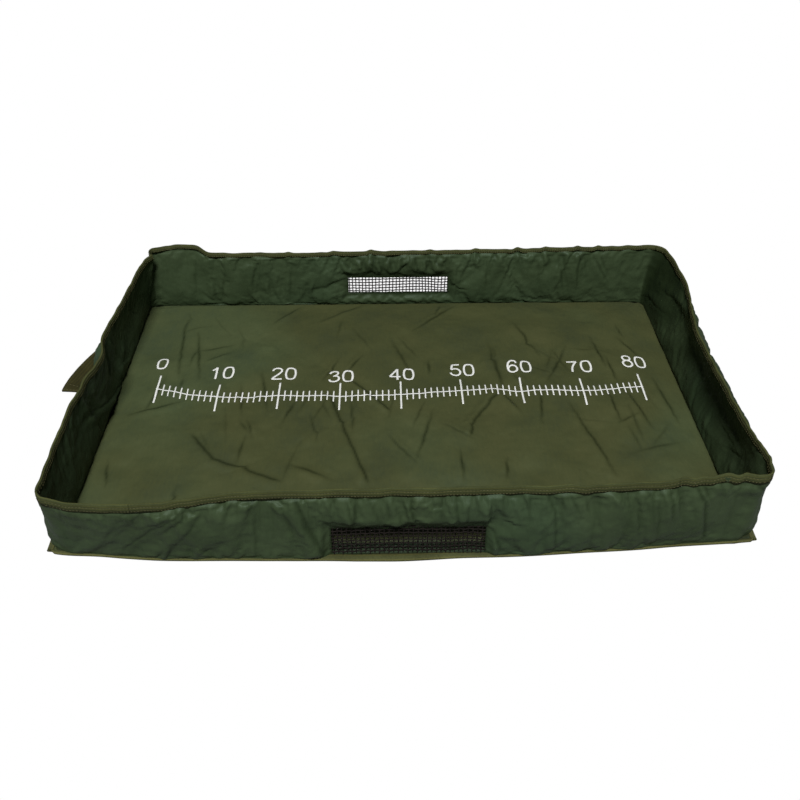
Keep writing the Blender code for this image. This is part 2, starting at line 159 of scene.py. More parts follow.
class NoiseField:
    """Smooth random surface: lattice values blended with cubic weights, at unit spread."""

    def __init__(self, waves_x, waves_y, reach=0.8):
        self.cell = (waves_x / 2, waves_y / 2)
        self.size = (int(2 * reach / self.cell[0]) + 4, int(2 * reach / self.cell[1]) + 4)
        self.values = rng.standard_normal(self.size)
        self.reach = reach

    def __call__(self, x, y):
        u = np.clip((x + self.reach) / self.cell[0] + 1, 1, self.size[0] - 2.001)
        v = np.clip((y + self.reach) / self.cell[1] + 1, 1, self.size[1] - 2.001)
        i = u.astype(int)
        j = v.astype(int)
        a = u - i
        b = v - j
        a = a * a * (3 - 2 * a)
        b = b * b * (3 - 2 * b)
        low = self.values[i, j] * (1 - a) + self.values[i + 1, j] * a
        high = self.values[i, j + 1] * (1 - a) + self.values[i + 1, j + 1] * a
        return (low * (1 - b) + high * b) * 1.6


def ramp(value, low, high):
    """Smooth step from 0 at low to 1 at high."""
    share = np.clip((value - low) / (high - low), 0.0, 1.0)
    return share * share * (3 - 2 * share)


def in_metres(table):
    """The columns of a table in millimetres, as rows in metres."""
    return [np.array(column, float) * MM for column in zip(*table)]


def blurred(fine, places, values, reach, width):
    """A table of values over places, read at the fine places and blurred with a bell."""
    bell = bell_row(reach, width)
    return np.convolve(np.pad(np.interp(fine, places, values), reach, mode="edge"), bell / bell.sum(), "valid")


def unit(rows):
    """Rows of vectors brought to length 1."""
    return rows / np.linalg.norm(rows, axis=1)[:, None]


def with_height(plan, height):
    """Points from their places in plan and their heights."""
    return np.concatenate((plan, height[..., None]), axis=-1)


def add_object(name, data):
    """New object in the scene for a mesh, a lamp or a camera."""
    item = bpy.data.objects.new(name, data)
    bpy.context.scene.collection.objects.link(item)
    return item


def mesh_from(name, points, quads, material, uvs=None, caps=(), outwards=True):
    """Smooth object from arrays: points, quads, longer faces as caps, and one cloth place per point."""
    mesh = bpy.data.meshes.new(name)
    mesh.from_pydata(points.reshape(-1, 3).tolist(), [], [*quads.tolist(), *caps])
    mesh.update()
    if uvs is not None:
        loops = np.zeros(len(mesh.loops), dtype=np.int64)
        mesh.loops.foreach_get("vertex_index", loops)
        mesh.uv_layers.new(name="cloth").data.foreach_set("uv", uvs.reshape(-1, 2)[loops].ravel())
    mesh.materials.append(material)
    if outwards:
        work = bmesh.new()
        work.from_mesh(mesh)
        bmesh.ops.recalc_face_normals(work, faces=work.faces)
        work.to_mesh(mesh)
        work.free()
    mesh.shade_smooth()
    return add_object(name, mesh)


def set_fold(item, shade):
    """Give each point the painted shade value that its cloth's colour reads."""
    item.data.attributes.new("fold", "FLOAT", "POINT").data.foreach_set("value", shade)


def tube_quads(count, around, closed=False):
    """Quads between rings of points that follow each other; closed joins the last ring to the first."""
    first = np.arange(count if closed else count - 1)[:, None] * around
    following = (first + around) % (count * around)
    here = np.arange(around)[None, :]
    after = (here + 1) % around
    return np.stack((first + here, first + after, following + after, following + here), axis=2).reshape(-1, 4)


def tube_mesh(name, tubes, material, uvs=None):
    """One closed mesh of tubes with capped ends, each of them rings of points."""
    quads, caps, start = [], [], 0
    for tube in tubes:
        count, around = tube.shape[:2]
        quads.append(tube_quads(count, around) + start)
        ring = np.arange(start, start + around)
        caps += [ring[::-1].tolist(), (ring + (count - 1) * around).tolist()]
        start += count * around
    points = np.concatenate([tube.reshape(-1, 3) for tube in tubes])
    return mesh_from(name, points, np.concatenate(quads), material, uvs, caps)


def grid_faces(rows, columns, offset=0, keep=None):
    """Quads between neighbouring rows and columns of a point grid; keep drops cells."""
    row, column = np.meshgrid(np.arange(rows - 1), np.arange(columns - 1), indexing="ij")
    first = row * columns + column
    quads = np.stack((first, first + 1, first + columns + 1, first + columns), axis=2)
    return (quads.reshape(-1, 4) if keep is None else quads[keep]) + offset


def border_pairs(keep):
    """Directed edges of the kept cells of a grid that have no kept cell on their other side."""
    rows, columns = keep.shape
    wide = np.zeros((rows + 2, columns + 2), dtype=bool)
    wide[1:-1, 1:-1] = keep
    width = columns + 1
    edges = []
    for step_row, step_column, ends in (
        (-1, 0, ((0, 0), (0, 1))),
        (1, 0, ((1, 1), (1, 0))),
        (0, -1, ((1, 0), (0, 0))),
        (0, 1, ((0, 1), (1, 1))),
    ):
        beside = wide[1 + step_row:rows + 1 + step_row, 1 + step_column:columns + 1 + step_column]
        row, column = np.nonzero(keep & ~beside)
        first = (row + ends[0][0]) * width + column + ends[0][1]
        second = (row + ends[1][0]) * width + column + ends[1][1]
        edges.append(np.stack((first, second), axis=1))
    return np.concatenate(edges)


def shell(name, near, far, material, uv_near, uv_far, keep=None, folds=None):
    """Closed shell between two point grids of one shape; folds gives each grid's fold shade."""
    rows, columns = near.shape[:2]
    if keep is None:
        keep = np.ones((rows - 1, columns - 1), dtype=bool)
    count = rows * columns
    edges = border_pairs(keep)
    sides = np.stack((edges[:, 1], edges[:, 0], edges[:, 0] + count, edges[:, 1] + count), axis=1)
    back = grid_faces(rows, columns, count, keep)[:, ::-1]
    faces = np.concatenate((grid_faces(rows, columns, 0, keep), back, sides))
    points = np.concatenate((near.reshape(-1, 3), far.reshape(-1, 3)))
    uvs = np.concatenate((uv_near.reshape(-1, 2), uv_far.reshape(-1, 2)))
    used, compact = np.unique(faces, return_inverse=True)
    item = mesh_from(name, points[used], compact.reshape(faces.shape), material, uvs[used])
    border = np.sort(np.searchsorted(used, np.concatenate((edges, edges + count))), axis=1)
    pairs = np.zeros(len(item.data.edges) * 2, dtype=np.int64)
    item.data.edges.foreach_get("vertices", pairs)
    pairs = np.sort(pairs.reshape(-1, 2), axis=1)
    sharp = np.isin(pairs @ (1, len(used)), border @ (1, len(used)))
    item.data.attributes.new("sharp_edge", "BOOLEAN", "EDGE").data.foreach_set("value", sharp)
    if folds is not None:
        set_fold(item, np.concatenate([grid.ravel() for grid in folds])[used])
    return item


# Materials

def feed(tree, node, sockets):
    """Put a value, or another node's output, on each of a node's sockets."""
    for key, value in sockets.items():
        if isinstance(value, bpy.types.NodeSocket):
            tree.links.new(value, node.inputs[key])
        else:
            node.inputs[key].default_value = value


def new_material(name, colour, roughness):
    """Principled material with its node tree and its shader."""
    material = bpy.data.materials.new(name)
    material.use_nodes = True
    tree = material.node_tree
    shader = tree.nodes["Principled BSDF"]
    feed(tree, shader, {"Base Color": (*colour, 1.0), "Roughness": roughness})
    return material, tree, shader


def add_node(tree, kind, sockets, **settings):
    """Shader node with the given settings and what its sockets take."""
    node = tree.nodes.new("ShaderNode" + kind)
    for key, value in settings.items():
        setattr(node, key, value)
    feed(tree, node, sockets)
    return node


def colour_ramp(tree, source, places, shades):
    """Colour ramp with one shade at each place, fed by a socket."""
    node = add_node(tree, "ValToRGB", {"Fac": source})
    elements = node.color_ramp.elements
    while len(elements) < len(places):
        elements.new(0.5)
    for element, place, shade in zip(elements, places, shades):
        element.position = place
        element.color = (*shade, 1.0)
    return node.outputs["Color"]


def noise_texture(tree, vector, scale, detail=3.0, roughness=0.5):
    """Noise texture output on a vector socket."""
    sockets = {"Vector": vector, "Scale": scale, "Detail": detail, "Roughness": roughness}
    return add_node(tree, "TexNoise", sockets).outputs["Fac"]


def scaled(tree, vector, factors):
    """Vector multiplied by per-axis factors."""
    return add_node(tree, "VectorMath", {0: vector, 1: factors}, operation="MULTIPLY").outputs["Vector"]


def math_node(tree, operation, *values):
    """Math node on sockets or numbers."""
    return add_node(tree, "Math", dict(enumerate(values)), operation=operation).outputs["Value"]


def weighted(tree, *parts):
    """Sum of two outputs, each times its weight."""
    return math_node(tree, "ADD", *(math_node(tree, "MULTIPLY", value, weight) for value, weight in parts))


def map_range(tree, value, ends, out=(0.0, 1.0)):
    """A value carried from one range to another."""
    limits = zip(("From Min", "From Max", "To Min", "To Max"), (*ends, *out))
    return add_node(tree, "MapRange", {"Value": value, **dict(limits)}).outputs["Result"]


def tinted(tree, share, colour, tint):
    """A colour multiplied by a tint as far as the share goes."""
    sockets = {"Factor": share, "A": colour, "B": (*tint, 1.0)}
    return add_node(tree, "Mix", sockets, data_type="RGBA", blend_type="MULTIPLY").outputs["Result"]


def along_axis(tree, vector, axis):
    """One axis of a vector socket."""
    return add_node(tree, "SeparateXYZ", {0: vector}).outputs[axis]


def thread_rows(tree, vector, axis, pitch):
    """Round rows of one pitch that follow each other along an axis, as the size of a sine."""
    place = along_axis(tree, scaled(tree, vector, (math.pi / pitch,) * 3), axis)
    return math_node(tree, "ABSOLUTE", math_node(tree, "SINE", place))


def bump(tree, shader, height, distance, strength=1.0, under=None):
    """Bump of a height socket, over an earlier bump if one is given."""
    sockets = {"Distance": distance, "Strength": strength, "Height": height}
    if under is not None:
        sockets["Normal"] = under
    normal = add_node(tree, "Bump", sockets).outputs["Normal"]
    feed(tree, shader, {"Normal": normal})
    return normal


def cloth_vector(tree):
    """The piece's own cloth coordinates, in metres along and up the cloth."""
    return add_node(tree, "UVMap", {}, uv_map="cloth").outputs["UV"]


def nylon(name, shades, roughness, sheen, shine=0.3, worn=False):
    """Coated nylon: a fine plain weave, cloudy shade differences, and small crumples in the surface."""
    material, tree, shader = new_material(name, shades[1], roughness)
    vector = cloth_vector(tree)
    cloud = noise_texture(tree, vector, 9.0, 4.0, 0.6)
    streak = noise_texture(tree, scaled(tree, vector, (260.0, 60.0, 1.0)), 1.0, 2.0)
    colour = colour_ramp(tree, weighted(tree, (cloud, 0.8), (streak, 0.2)), (0.32, 0.5, 0.7), shades)
    # The base colour carries painted shade from the fold value, and on the floor a painted sheen from tint_patches.
    feed(tree, shader, {
        "Base Color": tint_patches(tree, vector, darken_folds(tree, colour), worn),
        "Roughness": map_range(tree, cloud, (0.0, 1.0), (roughness - 0.06, roughness + 0.08)),
        "Sheen Weight": sheen, "Sheen Roughness": 0.4, "Sheen Tint": (0.35, 0.55, 0.40, 1.0),
        "Specular IOR Level": shine, "Specular Tint": (0.75, 0.95, 0.82, 1.0),
    })
    first = bump(tree, shader, noise_texture(tree, vector, 75.0, 3.0, 0.55), 1.2 * MM, 0.5)
    weave = math_node(tree, "MULTIPLY", *(thread_rows(tree, vector, axis, WEAVE_PITCH) for axis in "XY"))
    bump(tree, shader, weave, 0.06 * MM, 0.6, first)
    return material


def tint_patches(tree, vector, colour, worn):
    """Large soft patches where the cloth's coating turns bluish green; with the flag set they are lighter, partly as
    a painted sheen, and a painted sheen, lighter and bluish green, is added towards the left end.
    """
    patch = noise_texture(tree, vector, 3.2, 2.0, 0.5)
    if worn:
        # Painted sheen: lighter and bluish green towards the left end of the floor.
        left = map_range(tree, along_axis(tree, vector, "X"), (-0.12, -0.42), (-0.09, 0.20))
        patch = math_node(tree, "ADD", patch, left)
    tint = (1.06, 1.20, 1.34) if worn else (0.95, 1.04, 1.12)
    return tinted(tree, map_range(tree, patch, (0.48, 0.68)), colour, tint)


def darken_folds(tree, colour):
    """Painted shade: the fold value, 0 to 1, darkens the colour in creases and gather valleys, round the drain
    windows, along the walls' foot and on the side walls' inner faces.
    """
    fold = add_node(tree, "Attribute", {}, attribute_name="fold").outputs["Fac"]
    return tinted(tree, fold, colour, (0.30, 0.33, 0.26))


def ribbed_tape(name, shades, roughness=0.8):
    """Woven binding tape: ribs across its run, a fleck of lighter threads, and pale lines along it."""
    material, tree, shader = new_material(name, shades[1], roughness)
    vector = cloth_vector(tree)
    ribs = thread_rows(tree, vector, "X", 0.9 * MM)
    threads = thread_rows(tree, vector, "Y", 0.6 * MM)
    fleck = noise_texture(tree, scaled(tree, vector, (420.0, 900.0, 1.0)), 1.0, 2.0)
    cloud = noise_texture(tree, vector, 22.0, 4.0, 0.6)
    colour = colour_ramp(tree, weighted(tree, (cloud, 0.6), (fleck, 0.4)), (0.33, 0.5, 0.68), shades)
    line = math_node(tree, "POWER", thread_rows(tree, vector, "Y", 4.2 * MM), 6.0)
    pale = tinted(tree, math_node(tree, "MULTIPLY", line, 0.85), colour, (1.60, 1.42, 1.15))
    feed(tree, shader, {"Base Color": pale, "Specular IOR Level": 0.2})
    first = bump(tree, shader, weighted(tree, (ribs, 0.8), (threads, 0.2)), 0.25 * MM, 0.7)
    bump(tree, shader, cloud, 1.0 * MM, 0.35, first)
    return material


def plain_finish(name, colour, roughness, wear=0.25, scale=60.0, depth=0.2 * MM):
    """A finish with cloudy colour differences and a fine grain, on object coordinates."""
    material, tree, shader = new_material(name, colour, roughness)
    place = add_node(tree, "TexCoord", {}).outputs["Object"]
    cloud = noise_texture(tree, place, scale, 4.0, 0.6)
    shades = [[min(1.0, channel * (1 + change)) for channel in colour] for change in (-wear, wear)]
    feed(tree, shader, {"Base Color": colour_ramp(tree, cloud, (0.3, 0.7), shades), "Specular IOR Level": 0.3})
    bump(tree, shader, noise_texture(tree, place, scale * 20, 2.0, 0.5), depth, 0.5)
    return material


FLOOR_NYLON = nylon(
    "floor_nylon", ((0.053, 0.063, 0.028), (0.068, 0.076, 0.029), (0.082, 0.087, 0.033)), 0.5, 0.06, worn=True)
WALL_NYLON = nylon(
    "wall_nylon", ((0.040, 0.061, 0.028), (0.049, 0.073, 0.034), (0.060, 0.087, 0.042)), 0.42, 0.02, 0.16)
RIM_TAPE = ribbed_tape("rim_tape", ((0.041, 0.049, 0.018), (0.058, 0.069, 0.025), (0.083, 0.098, 0.035)))
BASE_TAPE = ribbed_tape("base_tape", ((0.050, 0.055, 0.021), (0.075, 0.082, 0.031), (0.104, 0.113, 0.043)))
WEBBING = ribbed_tape("webbing", ((0.028, 0.027, 0.009), (0.041, 0.039, 0.012), (0.057, 0.056, 0.018)), 0.85)
THREAD = plain_finish("thread", (0.15, 0.14, 0.065), 0.6, 0.2, 300.0)
MESH_THREAD = plain_finish("mesh_thread", (0.009, 0.006, 0.004), 0.85, 0.3, 400.0)
INK = plain_finish("ruler_ink", (0.93, 0.94, 0.90), 0.55, 0.05, 120.0, 0.1 * MM)
BASE_CLOTH = plain_finish("base_cloth", (0.012, 0.016, 0.010), 0.6, 0.3, 40.0)


# The floor

FLOOR_NOISE = [
    (NoiseField(wave_x, wave_y), size * MM)
    for wave_x, wave_y, size in ((0.11, 0.09, 0.9), (0.045, 0.05, 0.35), (0.016, 0.018, 0.10))
]
# Creases of the floor cover, in millimetres: height, width, then x and y of each place of its run
FLOOR_CREASES = (
    (2.0, 7, -403, 260, -383, 78), (1.6, 7, -370, 198, -346, 66), (2.4, 6, -324, 111, -298, 131),
    (1.6, 6, -220, 228, -178, 284), (1.8, 7, -131, 227, -34, 306), (1.8, 7, 103, 287, 26, 202),
    (2.0, 5, -112, 102, -132, 55), (1.8, 5, -71, 112, -92, 76), (2.0, 5, 45, 96, 44, 68),
    (2.4, 13, 147, 132, 158, 26), (2.6, 7, 149, 8, 110, -52, 102, -85), (2.2, 6, 164, 7, 183, -36),
    (2.2, 6, -79, 35, -59, 11, -28, -27), (1.8, 8, -119, -8, -113, -31, -62, -182), (1.6, 6, -177, -7, -192, -51),
    (1.6, 6, 83, -134, 83, -181), (1.8, 5, 151, -150, 147, -180), (1.4, 8, -166, -160, -119, -185),
    (2.2, 6, 336, 153, 344, 80), (2.0, 6, 389, 152, 407, 113), (1.8, 8, 282, 130, 243, 49),
    (2.0, 5, 352, 94, 357, 44), (2.2, 6, 336, 7, 339, -60), (2.2, 7, 366, 12, 384, -73),
    (2.6, 8, 268, -27, 305, -178), (1.6, 9, -325, -96, -291, -143, -196, -188), (1.6, 8, -428, -31, -363, -4),
    (1.4, 6, -450, -136, -442, -180), (1.2, 9, -240, 60, -225, -20), (1.4, 9, 205, 200, 232, 120),
    (1.0, 10, -20, 150, 10, 60), (1.8, 7, 420, 40, 432, -60), (1.4, 8, -405, 60, -420, -10),
    (1.2, 9, 40, -40, 15, -130), (1.6, 7, 225, 20, 215, -60), (1.2, 6, -270, 30, -262, -30),
)


def fold_rows(table):
    """Run of places, size and width of each fold of a table in millimetres, all in metres."""
    for size, width, *places in table:
        metres = [place * MM for place in places]
        yield list(zip(metres[::2], metres[1::2])), size * MM, width * MM


def crease_shape(x, y, run, height, width):
    """One crease in the cloth: height over the cloth, and the painted shade in its fold.

    A rounded ridge runs along the places with a narrow V beside it and a soft hollow beyond the V.
    All three fade at the run's ends and swing a little to either side of its straight line.
    """
    total = np.zeros_like(x)
    shade = np.zeros_like(x)
    reached = np.full_like(x, 9.0)
    for (ax, ay), (bx, by) in zip(run, run[1:]):
        length = math.hypot(bx - ax, by - ay)
        along = ((x - ax) * (bx - ax) + (y - ay) * (by - ay)) / length ** 2
        across = ((bx - ax) * (y - ay) - (by - ay) * (x - ax)) / length
        across = across + 0.5 * MM * CREASE_WANDER(along * length * 3 + ax * 11)
        nearest = np.clip(along, 0.0, 1.0)
        beyond = np.abs(along - nearest) * length
        distance = np.hypot(across, beyond)
        taper = np.exp(-(beyond / (1.4 * width)) ** 2)
        if len(run) == 2:
            taper = taper * (0.35 + 0.65 * np.sin(math.pi * np.clip(along, 0.02, 0.98)))
        ridge = np.exp(-(across / width) ** 2)
        fold = np.exp(-np.abs((across - 0.95 * width) / (1.0 * MM + 0.09 * width)) ** 1.4)
        # Painted shade: a band over the V, a little wider than it, which darkens the colour there.
        crease_painted_shade = np.exp(-np.abs((across - 0.95 * width) / (1.3 * MM + 0.13 * width)) ** 1.4)
        hollow = np.exp(-((across - 2.1 * width) / (1.2 * width)) ** 2)
        part = taper * (ridge - 0.75 * fold - 0.35 * hollow) * height
        closer = distance < reached
        reached = np.where(closer, distance, reached)
        total = np.where(closer, part, total)
        shade = np.where(closer, taper * crease_painted_shade, shade)
    return total, shade


CREASE_WANDER = NoiseLine(0.05, 9.0)


def small_creases(count):
    """Short faint creases scattered over the cover, most of them running roughly front to rear."""
    runs = []
    for _ in range(count):
        x, y = rng.uniform(-440, 440), rng.uniform(-265, 265)
        turn = rng.normal(math.pi / 2, 0.55)
        half = rng.uniform(25, 75) / 2
        step_x, step_y = half * math.cos(turn), half * math.sin(turn)
        ends = (x - step_x, y - step_y, x + step_x, y + step_y)
        runs.append((rng.uniform(0.4, 1.1), rng.uniform(4, 8), *ends))
    return runs


SMALL_CREASES = small_creases(46)
# How far the front seam is drawn in, by place along it, in millimetres: (x, pull)
FRONT_PULL = ((-491, 18), (-467, 11), (-413, 10), (-372, 5), (-331, 1), (-210, -1), (-102, -3), (-8, -6),
              (32, -4), (73, -1), (154, 0), (196, 2), (237, 5), (320, 8), (363, 11), (447, 13), (491, 17))


def front_pull(x):
    """How far the front seam is drawn in towards the crease, over x."""
    fine = np.linspace(-0.52, 0.52, 521)
    return np.interp(x, fine, blurred(fine, *in_metres(FRONT_PULL), 20, 7.0))


def side_pull(x, y):
    """How far a side seam is drawn in towards its crease near its front end, more at the right."""
    right = 8.0 * MM * ramp(x, 0.2, 0.4) * ramp(-y, 0.18, 0.30)
    return right + 4.0 * MM * ramp(-x, 0.2, 0.4) * ramp(-y, 0.22, 0.30)


def seam_lift(x, y):
    """How far the base seam lifts off the ground near the two front corners, more at the right one."""
    right = 6.0 * MM * ramp(x, 0.26, 0.48) * ramp(-y, 0.05, 0.29)
    left = 2.0 * MM * ramp(-x, 0.38, 0.48) * ramp(-y, 0.15, 0.29)
    return right + left


def draw_seam(points):
    """Move points beyond the crease with the seam: in at the front, and up near the front corners."""
    x, y = points[..., 0], points[..., 1]
    beyond = np.maximum(np.abs(x) - CREASE_X, np.abs(y) - CREASE_Y)
    share = ramp(beyond, 4.0 * MM, 20.0 * MM)
    in_front = ramp(-y, CREASE_Y + 2.0 * MM, BASE_Y - 4.0 * MM)
    moved = points.copy()
    moved[..., 1] += front_pull(x) * in_front
    moved[..., 0] -= np.sign(x) * side_pull(x, y) * ramp(np.abs(x), CREASE_X + 2.0 * MM, BASE_X - 4.0 * MM)
    moved[..., 2] += seam_lift(x, y) * share
    return moved


def floor_height(x, y):
    """Height of the floor cover: a pad crowned from its creases, low swells, creases and fine crumples; and the
    painted shade along its creases.

    The pad rises more slowly at the left, where the wall that leans inwards folds down onto it, and
    it stays flat at the rear end of that side, where the wall leans furthest. A shallow dent takes
    the notch of the left rim.
    """
    inset = np.minimum(CREASE_X - np.abs(x), CREASE_Y - np.abs(y))
    lower = ramp(-x, 0.12, 0.30)
    rise = np.sin(np.clip(inset / (0.15 + 0.15 * lower), 0.0, 1.0) * math.pi / 2)
    height = HINGE_Z + 1.5 * MM + (CROWN_Z - HINGE_Z - 1.5 * MM) * rise
    height = height + 3.0 * MM * np.exp(-((x - 0.40) / 0.07) ** 2) * ramp(inset, 0.0, 0.06)
    height = height - 1.2 * MM * np.exp(-((np.abs(x) - 0.165) / 0.012) ** 2) * ramp(inset, 0.0, 0.08)
    height = height - 3.8 * MM * np.exp(-((x + 0.358) / 0.026) ** 2 - ((y + 0.013) / 0.032) ** 2)
    flat = 0.94 * ramp(-x, 0.235, 0.335) * ramp(y, 0.105, 0.165)
    height = height * (1 - flat) + (HINGE_Z + 0.6 * MM) * flat
    free = ramp(inset, 0.0, 0.03)
    for field, size in FLOOR_NOISE:
        height = height + field(x, y) * size * (0.35 + 0.65 * free) * (1 - 0.7 * flat)
    shade = np.zeros_like(x)
    for run, size, width in fold_rows((*FLOOR_CREASES, *SMALL_CREASES)):
        rise, dark = crease_shape(x, y, run, size, width)
        height = height + rise * free * (1 - 0.6 * flat)
        # Painted shade along each crease.
        shade = np.maximum(shade, dark * free * min(1.0, 0.8 * size / MM))
    side = ramp(inset, -0.0108, -0.0070)
    return np.where(inset > 0, height, HINGE_Z - 0.6 * MM - (HINGE_Z - LIP_Z) * (1 - side)), shade


def floor_axis(half, crease):
    """Places across the floor: even inside the creases, with close rows down the pad's side."""
    count = int(2 * crease / FLOOR_STEP)
    inside = np.linspace(-crease, crease, count + 1)
    outside = crease + np.array((4.0, 8.0, 9.6, 10.8, 12.0)) * MM
    outside = np.append(outside, half - 1.2 * MM)
    return np.concatenate((-outside[::-1], inside, outside))


def rounded(u, v):
    """Factor that draws a rectangle's places, given as shares of its halves, to rounded corners."""
    power = (np.abs(u) ** CORNER_POWER + np.abs(v) ** CORNER_POWER) ** (1 / CORNER_POWER)
    return np.maximum(np.abs(u), np.abs(v)) / np.maximum(power, 1e-9)


def make_floor():
    """The crowned floor pad down to its seam lip, as one closed piece, and the height grid for the print."""
    along = floor_axis(BASE_X, CREASE_X)
    across = floor_axis(BASE_Y, CREASE_Y)
    x, y = np.meshgrid(along, across)
    z, shade = floor_height(x, y)
    pull = rounded(x / along[-1], y / across[-1])
    top = draw_seam(np.stack((x * pull, y * pull, z), axis=2)).reshape(-1, 3)
    order = np.arange(x.size).reshape(x.shape)
    edge = np.concatenate((order[0], order[1:, -1], order[-1, -2::-1], order[-2:0:-1, 0]))
    place = x.size + np.arange(len(edge))
    sides = np.stack((np.roll(edge, -1), edge, place, np.roll(place, -1)), axis=1)
    points = np.concatenate((top, top[edge] - (0.0, 0.0, 0.9 * MM)))
    quads = np.concatenate((grid_faces(*x.shape), sides))
    pad = mesh_from("floor_pad", points, quads, FLOOR_NYLON, points[:, :2], [place[::-1].tolist()], False)
    set_fold(pad, np.concatenate((shade.ravel(), np.zeros(len(edge)))))
    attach(pad, "floor")
    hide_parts("floor_cover", "floor_core")
    return along, across, z


class Draped:
    """Reads the floor's height grid between its points, so that print lies on the cloth."""

    def __init__(self, along, across, heights):
        self.along = along
        self.across = across
        self.heights = heights

    def __call__(self, x, y):
        i = np.clip(np.searchsorted(self.along, x) - 1, 0, len(self.along) - 2)
        j = np.clip(np.searchsorted(self.across, y) - 1, 0, len(self.across) - 2)
        a = (x - self.along[i]) / (self.along[i + 1] - self.along[i])
        b = (y - self.across[j]) / (self.across[j + 1] - self.across[j])
        low = self.heights[j, i] * (1 - a) + self.heights[j, i + 1] * a
        high = self.heights[j + 1, i] * (1 - a) + self.heights[j + 1, i + 1] * a
        return low * (1 - b) + high * b


INK_LIFT = 0.25 * MM
RULER_Y = 6 * MM
# The print shifts a little to the rear towards both ends, where the cloth is drawn: (x, shift) in mm
RULER_SHIFT = ((-410, 34), (-352, 15), (-302, 1), (-198, 2), (-98, -2), (0, 1), (104, 9), (160, 14), (172, 17),
               (184, 12), (203, 10), (301, 4), (350, 10), (400, 16))


def ruler_line(x):
    """Where the ruler's line runs, as y over x."""
    places, shifts = in_metres(RULER_SHIFT)
    fine = np.linspace(places[0] - 0.05, places[-1] + 0.05, 900)
    return RULER_Y + np.interp(x, fine, blurred(fine, places, shifts, 24, 8.0))


def ink_band(path, width, floor):
    """Grid of points along a path of print, three across, lifted clear of the cloth."""
    along = unit(np.gradient(path, axis=0))
    normal = np.stack((-along[:, 1], along[:, 0]), axis=1)
    plan = path[:, None, :] + normal[:, None, :] * np.array((-0.5, 0.0, 0.5))[None, :, None] * width
    return with_height(plan, floor(plan[:, :, 0], plan[:, :, 1]) + INK_LIFT)


def make_print(name, grids):
    """One print from several point grids, which gets its small thickness downwards and rides on the floor."""
    faces, count = [], 0
    for grid in grids:
        faces.append(grid_faces(*grid.shape[:2], count))
        count += grid.shape[0] * grid.shape[1]
    points = np.concatenate([grid.reshape(-1, 3) for grid in grids])
    item = mesh_from(name, points, np.concatenate(faces), INK, points[:, :2], outwards=False)
    solid = item.modifiers.new("ink", "SOLIDIFY")
    solid.thickness = 0.2 * MM
    solid.offset = -1.0
    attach(item, "floor")


def make_ruler(floor):
    """The printed ruler: one line from 0 to 80 cm, a tick each centimetre and a long one each ten."""
    x = np.arange(-0.4065, 0.4021, 1.5 * MM)
    middle = ruler_line(x)
    line = [np.stack((x, y, floor(x, y) + INK_LIFT), axis=1) for y in (middle - 1.1 * MM, middle, middle + 1.1 * MM)]
    grids = [np.stack(line, axis=1)]
    for mark in range(81):
        half, width, steps = (34 * MM, 3.0 * MM, 26) if mark % 10 == 0 else (13 * MM, 2.2 * MM, 12)
        place = (mark - 40) * 0.01
        place -= 4.5 * MM * float(ramp(np.array(-place), 0.30, 0.40))
        centre = float(ruler_line(np.array([place]))[0])
        grids.append(ink_band(np.linspace((place, centre - half), (place, centre + half), steps), width, floor))
    make_print("ruler_marks", grids)
    for number, (x, y) in zip(range(0, 81, 10), NUMERAL_PLACES):
        make_numeral(str(number), x * MM, y * MM, floor)


# Where the middle of each number stands, in mm, and the strokes of its figures over a height of 1:
# each stroke is "line" or "curve" through its places
NUMERAL_PLACES = (
    (-408, 104), (-302, 74), (-196, 66.5), (-99.5, 57), (2.5, 61), (105, 73), (203, 79.5), (306, 78), (402, 90.5),
)
NUMERAL_HEIGHT = 31 * MM
NUMERAL_STROKE = 3.6 * MM
NUMERAL_STEP = 0.74
FIGURES = {
    "0": (
        ("curve", (.33, .96), (.52, .88), (.59, .50), (.52, .12), (.33, .04), (.14, .12), (.07, .50), (.14, .88),
         (.33, .96)),
    ),
    "1": (
        ("line", (.40, .0), (.40, .99)),
        ("curve", (.40, .97), (.30, .84), (.15, .75)),
    ),
    "2": (
        ("curve", (.08, .74), (.14, .90), (.33, .96), (.53, .88), (.56, .70), (.42, .48), (.20, .24), (.08, .05)),
        ("line", (.06, .05), (.61, .05)),
    ),
    "3": (
        ("curve", (.08, .77), (.17, .91), (.33, .96), (.50, .88), (.52, .73), (.42, .58), (.27, .54)),
        ("curve", (.27, .54), (.46, .51), (.58, .36), (.56, .17), (.42, .06), (.30, .04), (.14, .09), (.06, .24)),
    ),
    "4": (
        ("line", (.46, .0), (.46, .97)),
        ("line", (.46, .97), (.05, .27)),
        ("line", (.03, .27), (.63, .27)),
    ),
    "5": (
        ("line", (.57, .95), (.17, .95)),
        ("line", (.18, .96), (.11, .49)),
        ("curve", (.11, .50), (.30, .60), (.49, .55), (.59, .38), (.56, .17), (.42, .06), (.30, .04), (.14, .09),
         (.06, .24)),
    ),
    "6": (
        ("curve", (.56, .76), (.49, .91), (.34, .96), (.17, .86), (.08, .60), (.08, .36), (.15, .13), (.34, .04),
         (.52, .13), (.58, .31), (.51, .50), (.35, .58), (.18, .51), (.09, .34)),
    ),
    "7": (
        ("line", (.06, .94), (.61, .94)),
        ("curve", (.59, .93), (.42, .68), (.30, .36), (.25, .0)),
    ),
    "8": (
        ("curve", (.33, .96), (.50, .89), (.54, .75), (.48, .61), (.33, .55), (.18, .61), (.12, .75), (.16, .89),
         (.33, .96)),
        ("curve", (.33, .55), (.51, .48), (.59, .30), (.51, .11), (.33, .04), (.15, .11), (.07, .30), (.15, .48),
         (.33, .55)),
    ),
}


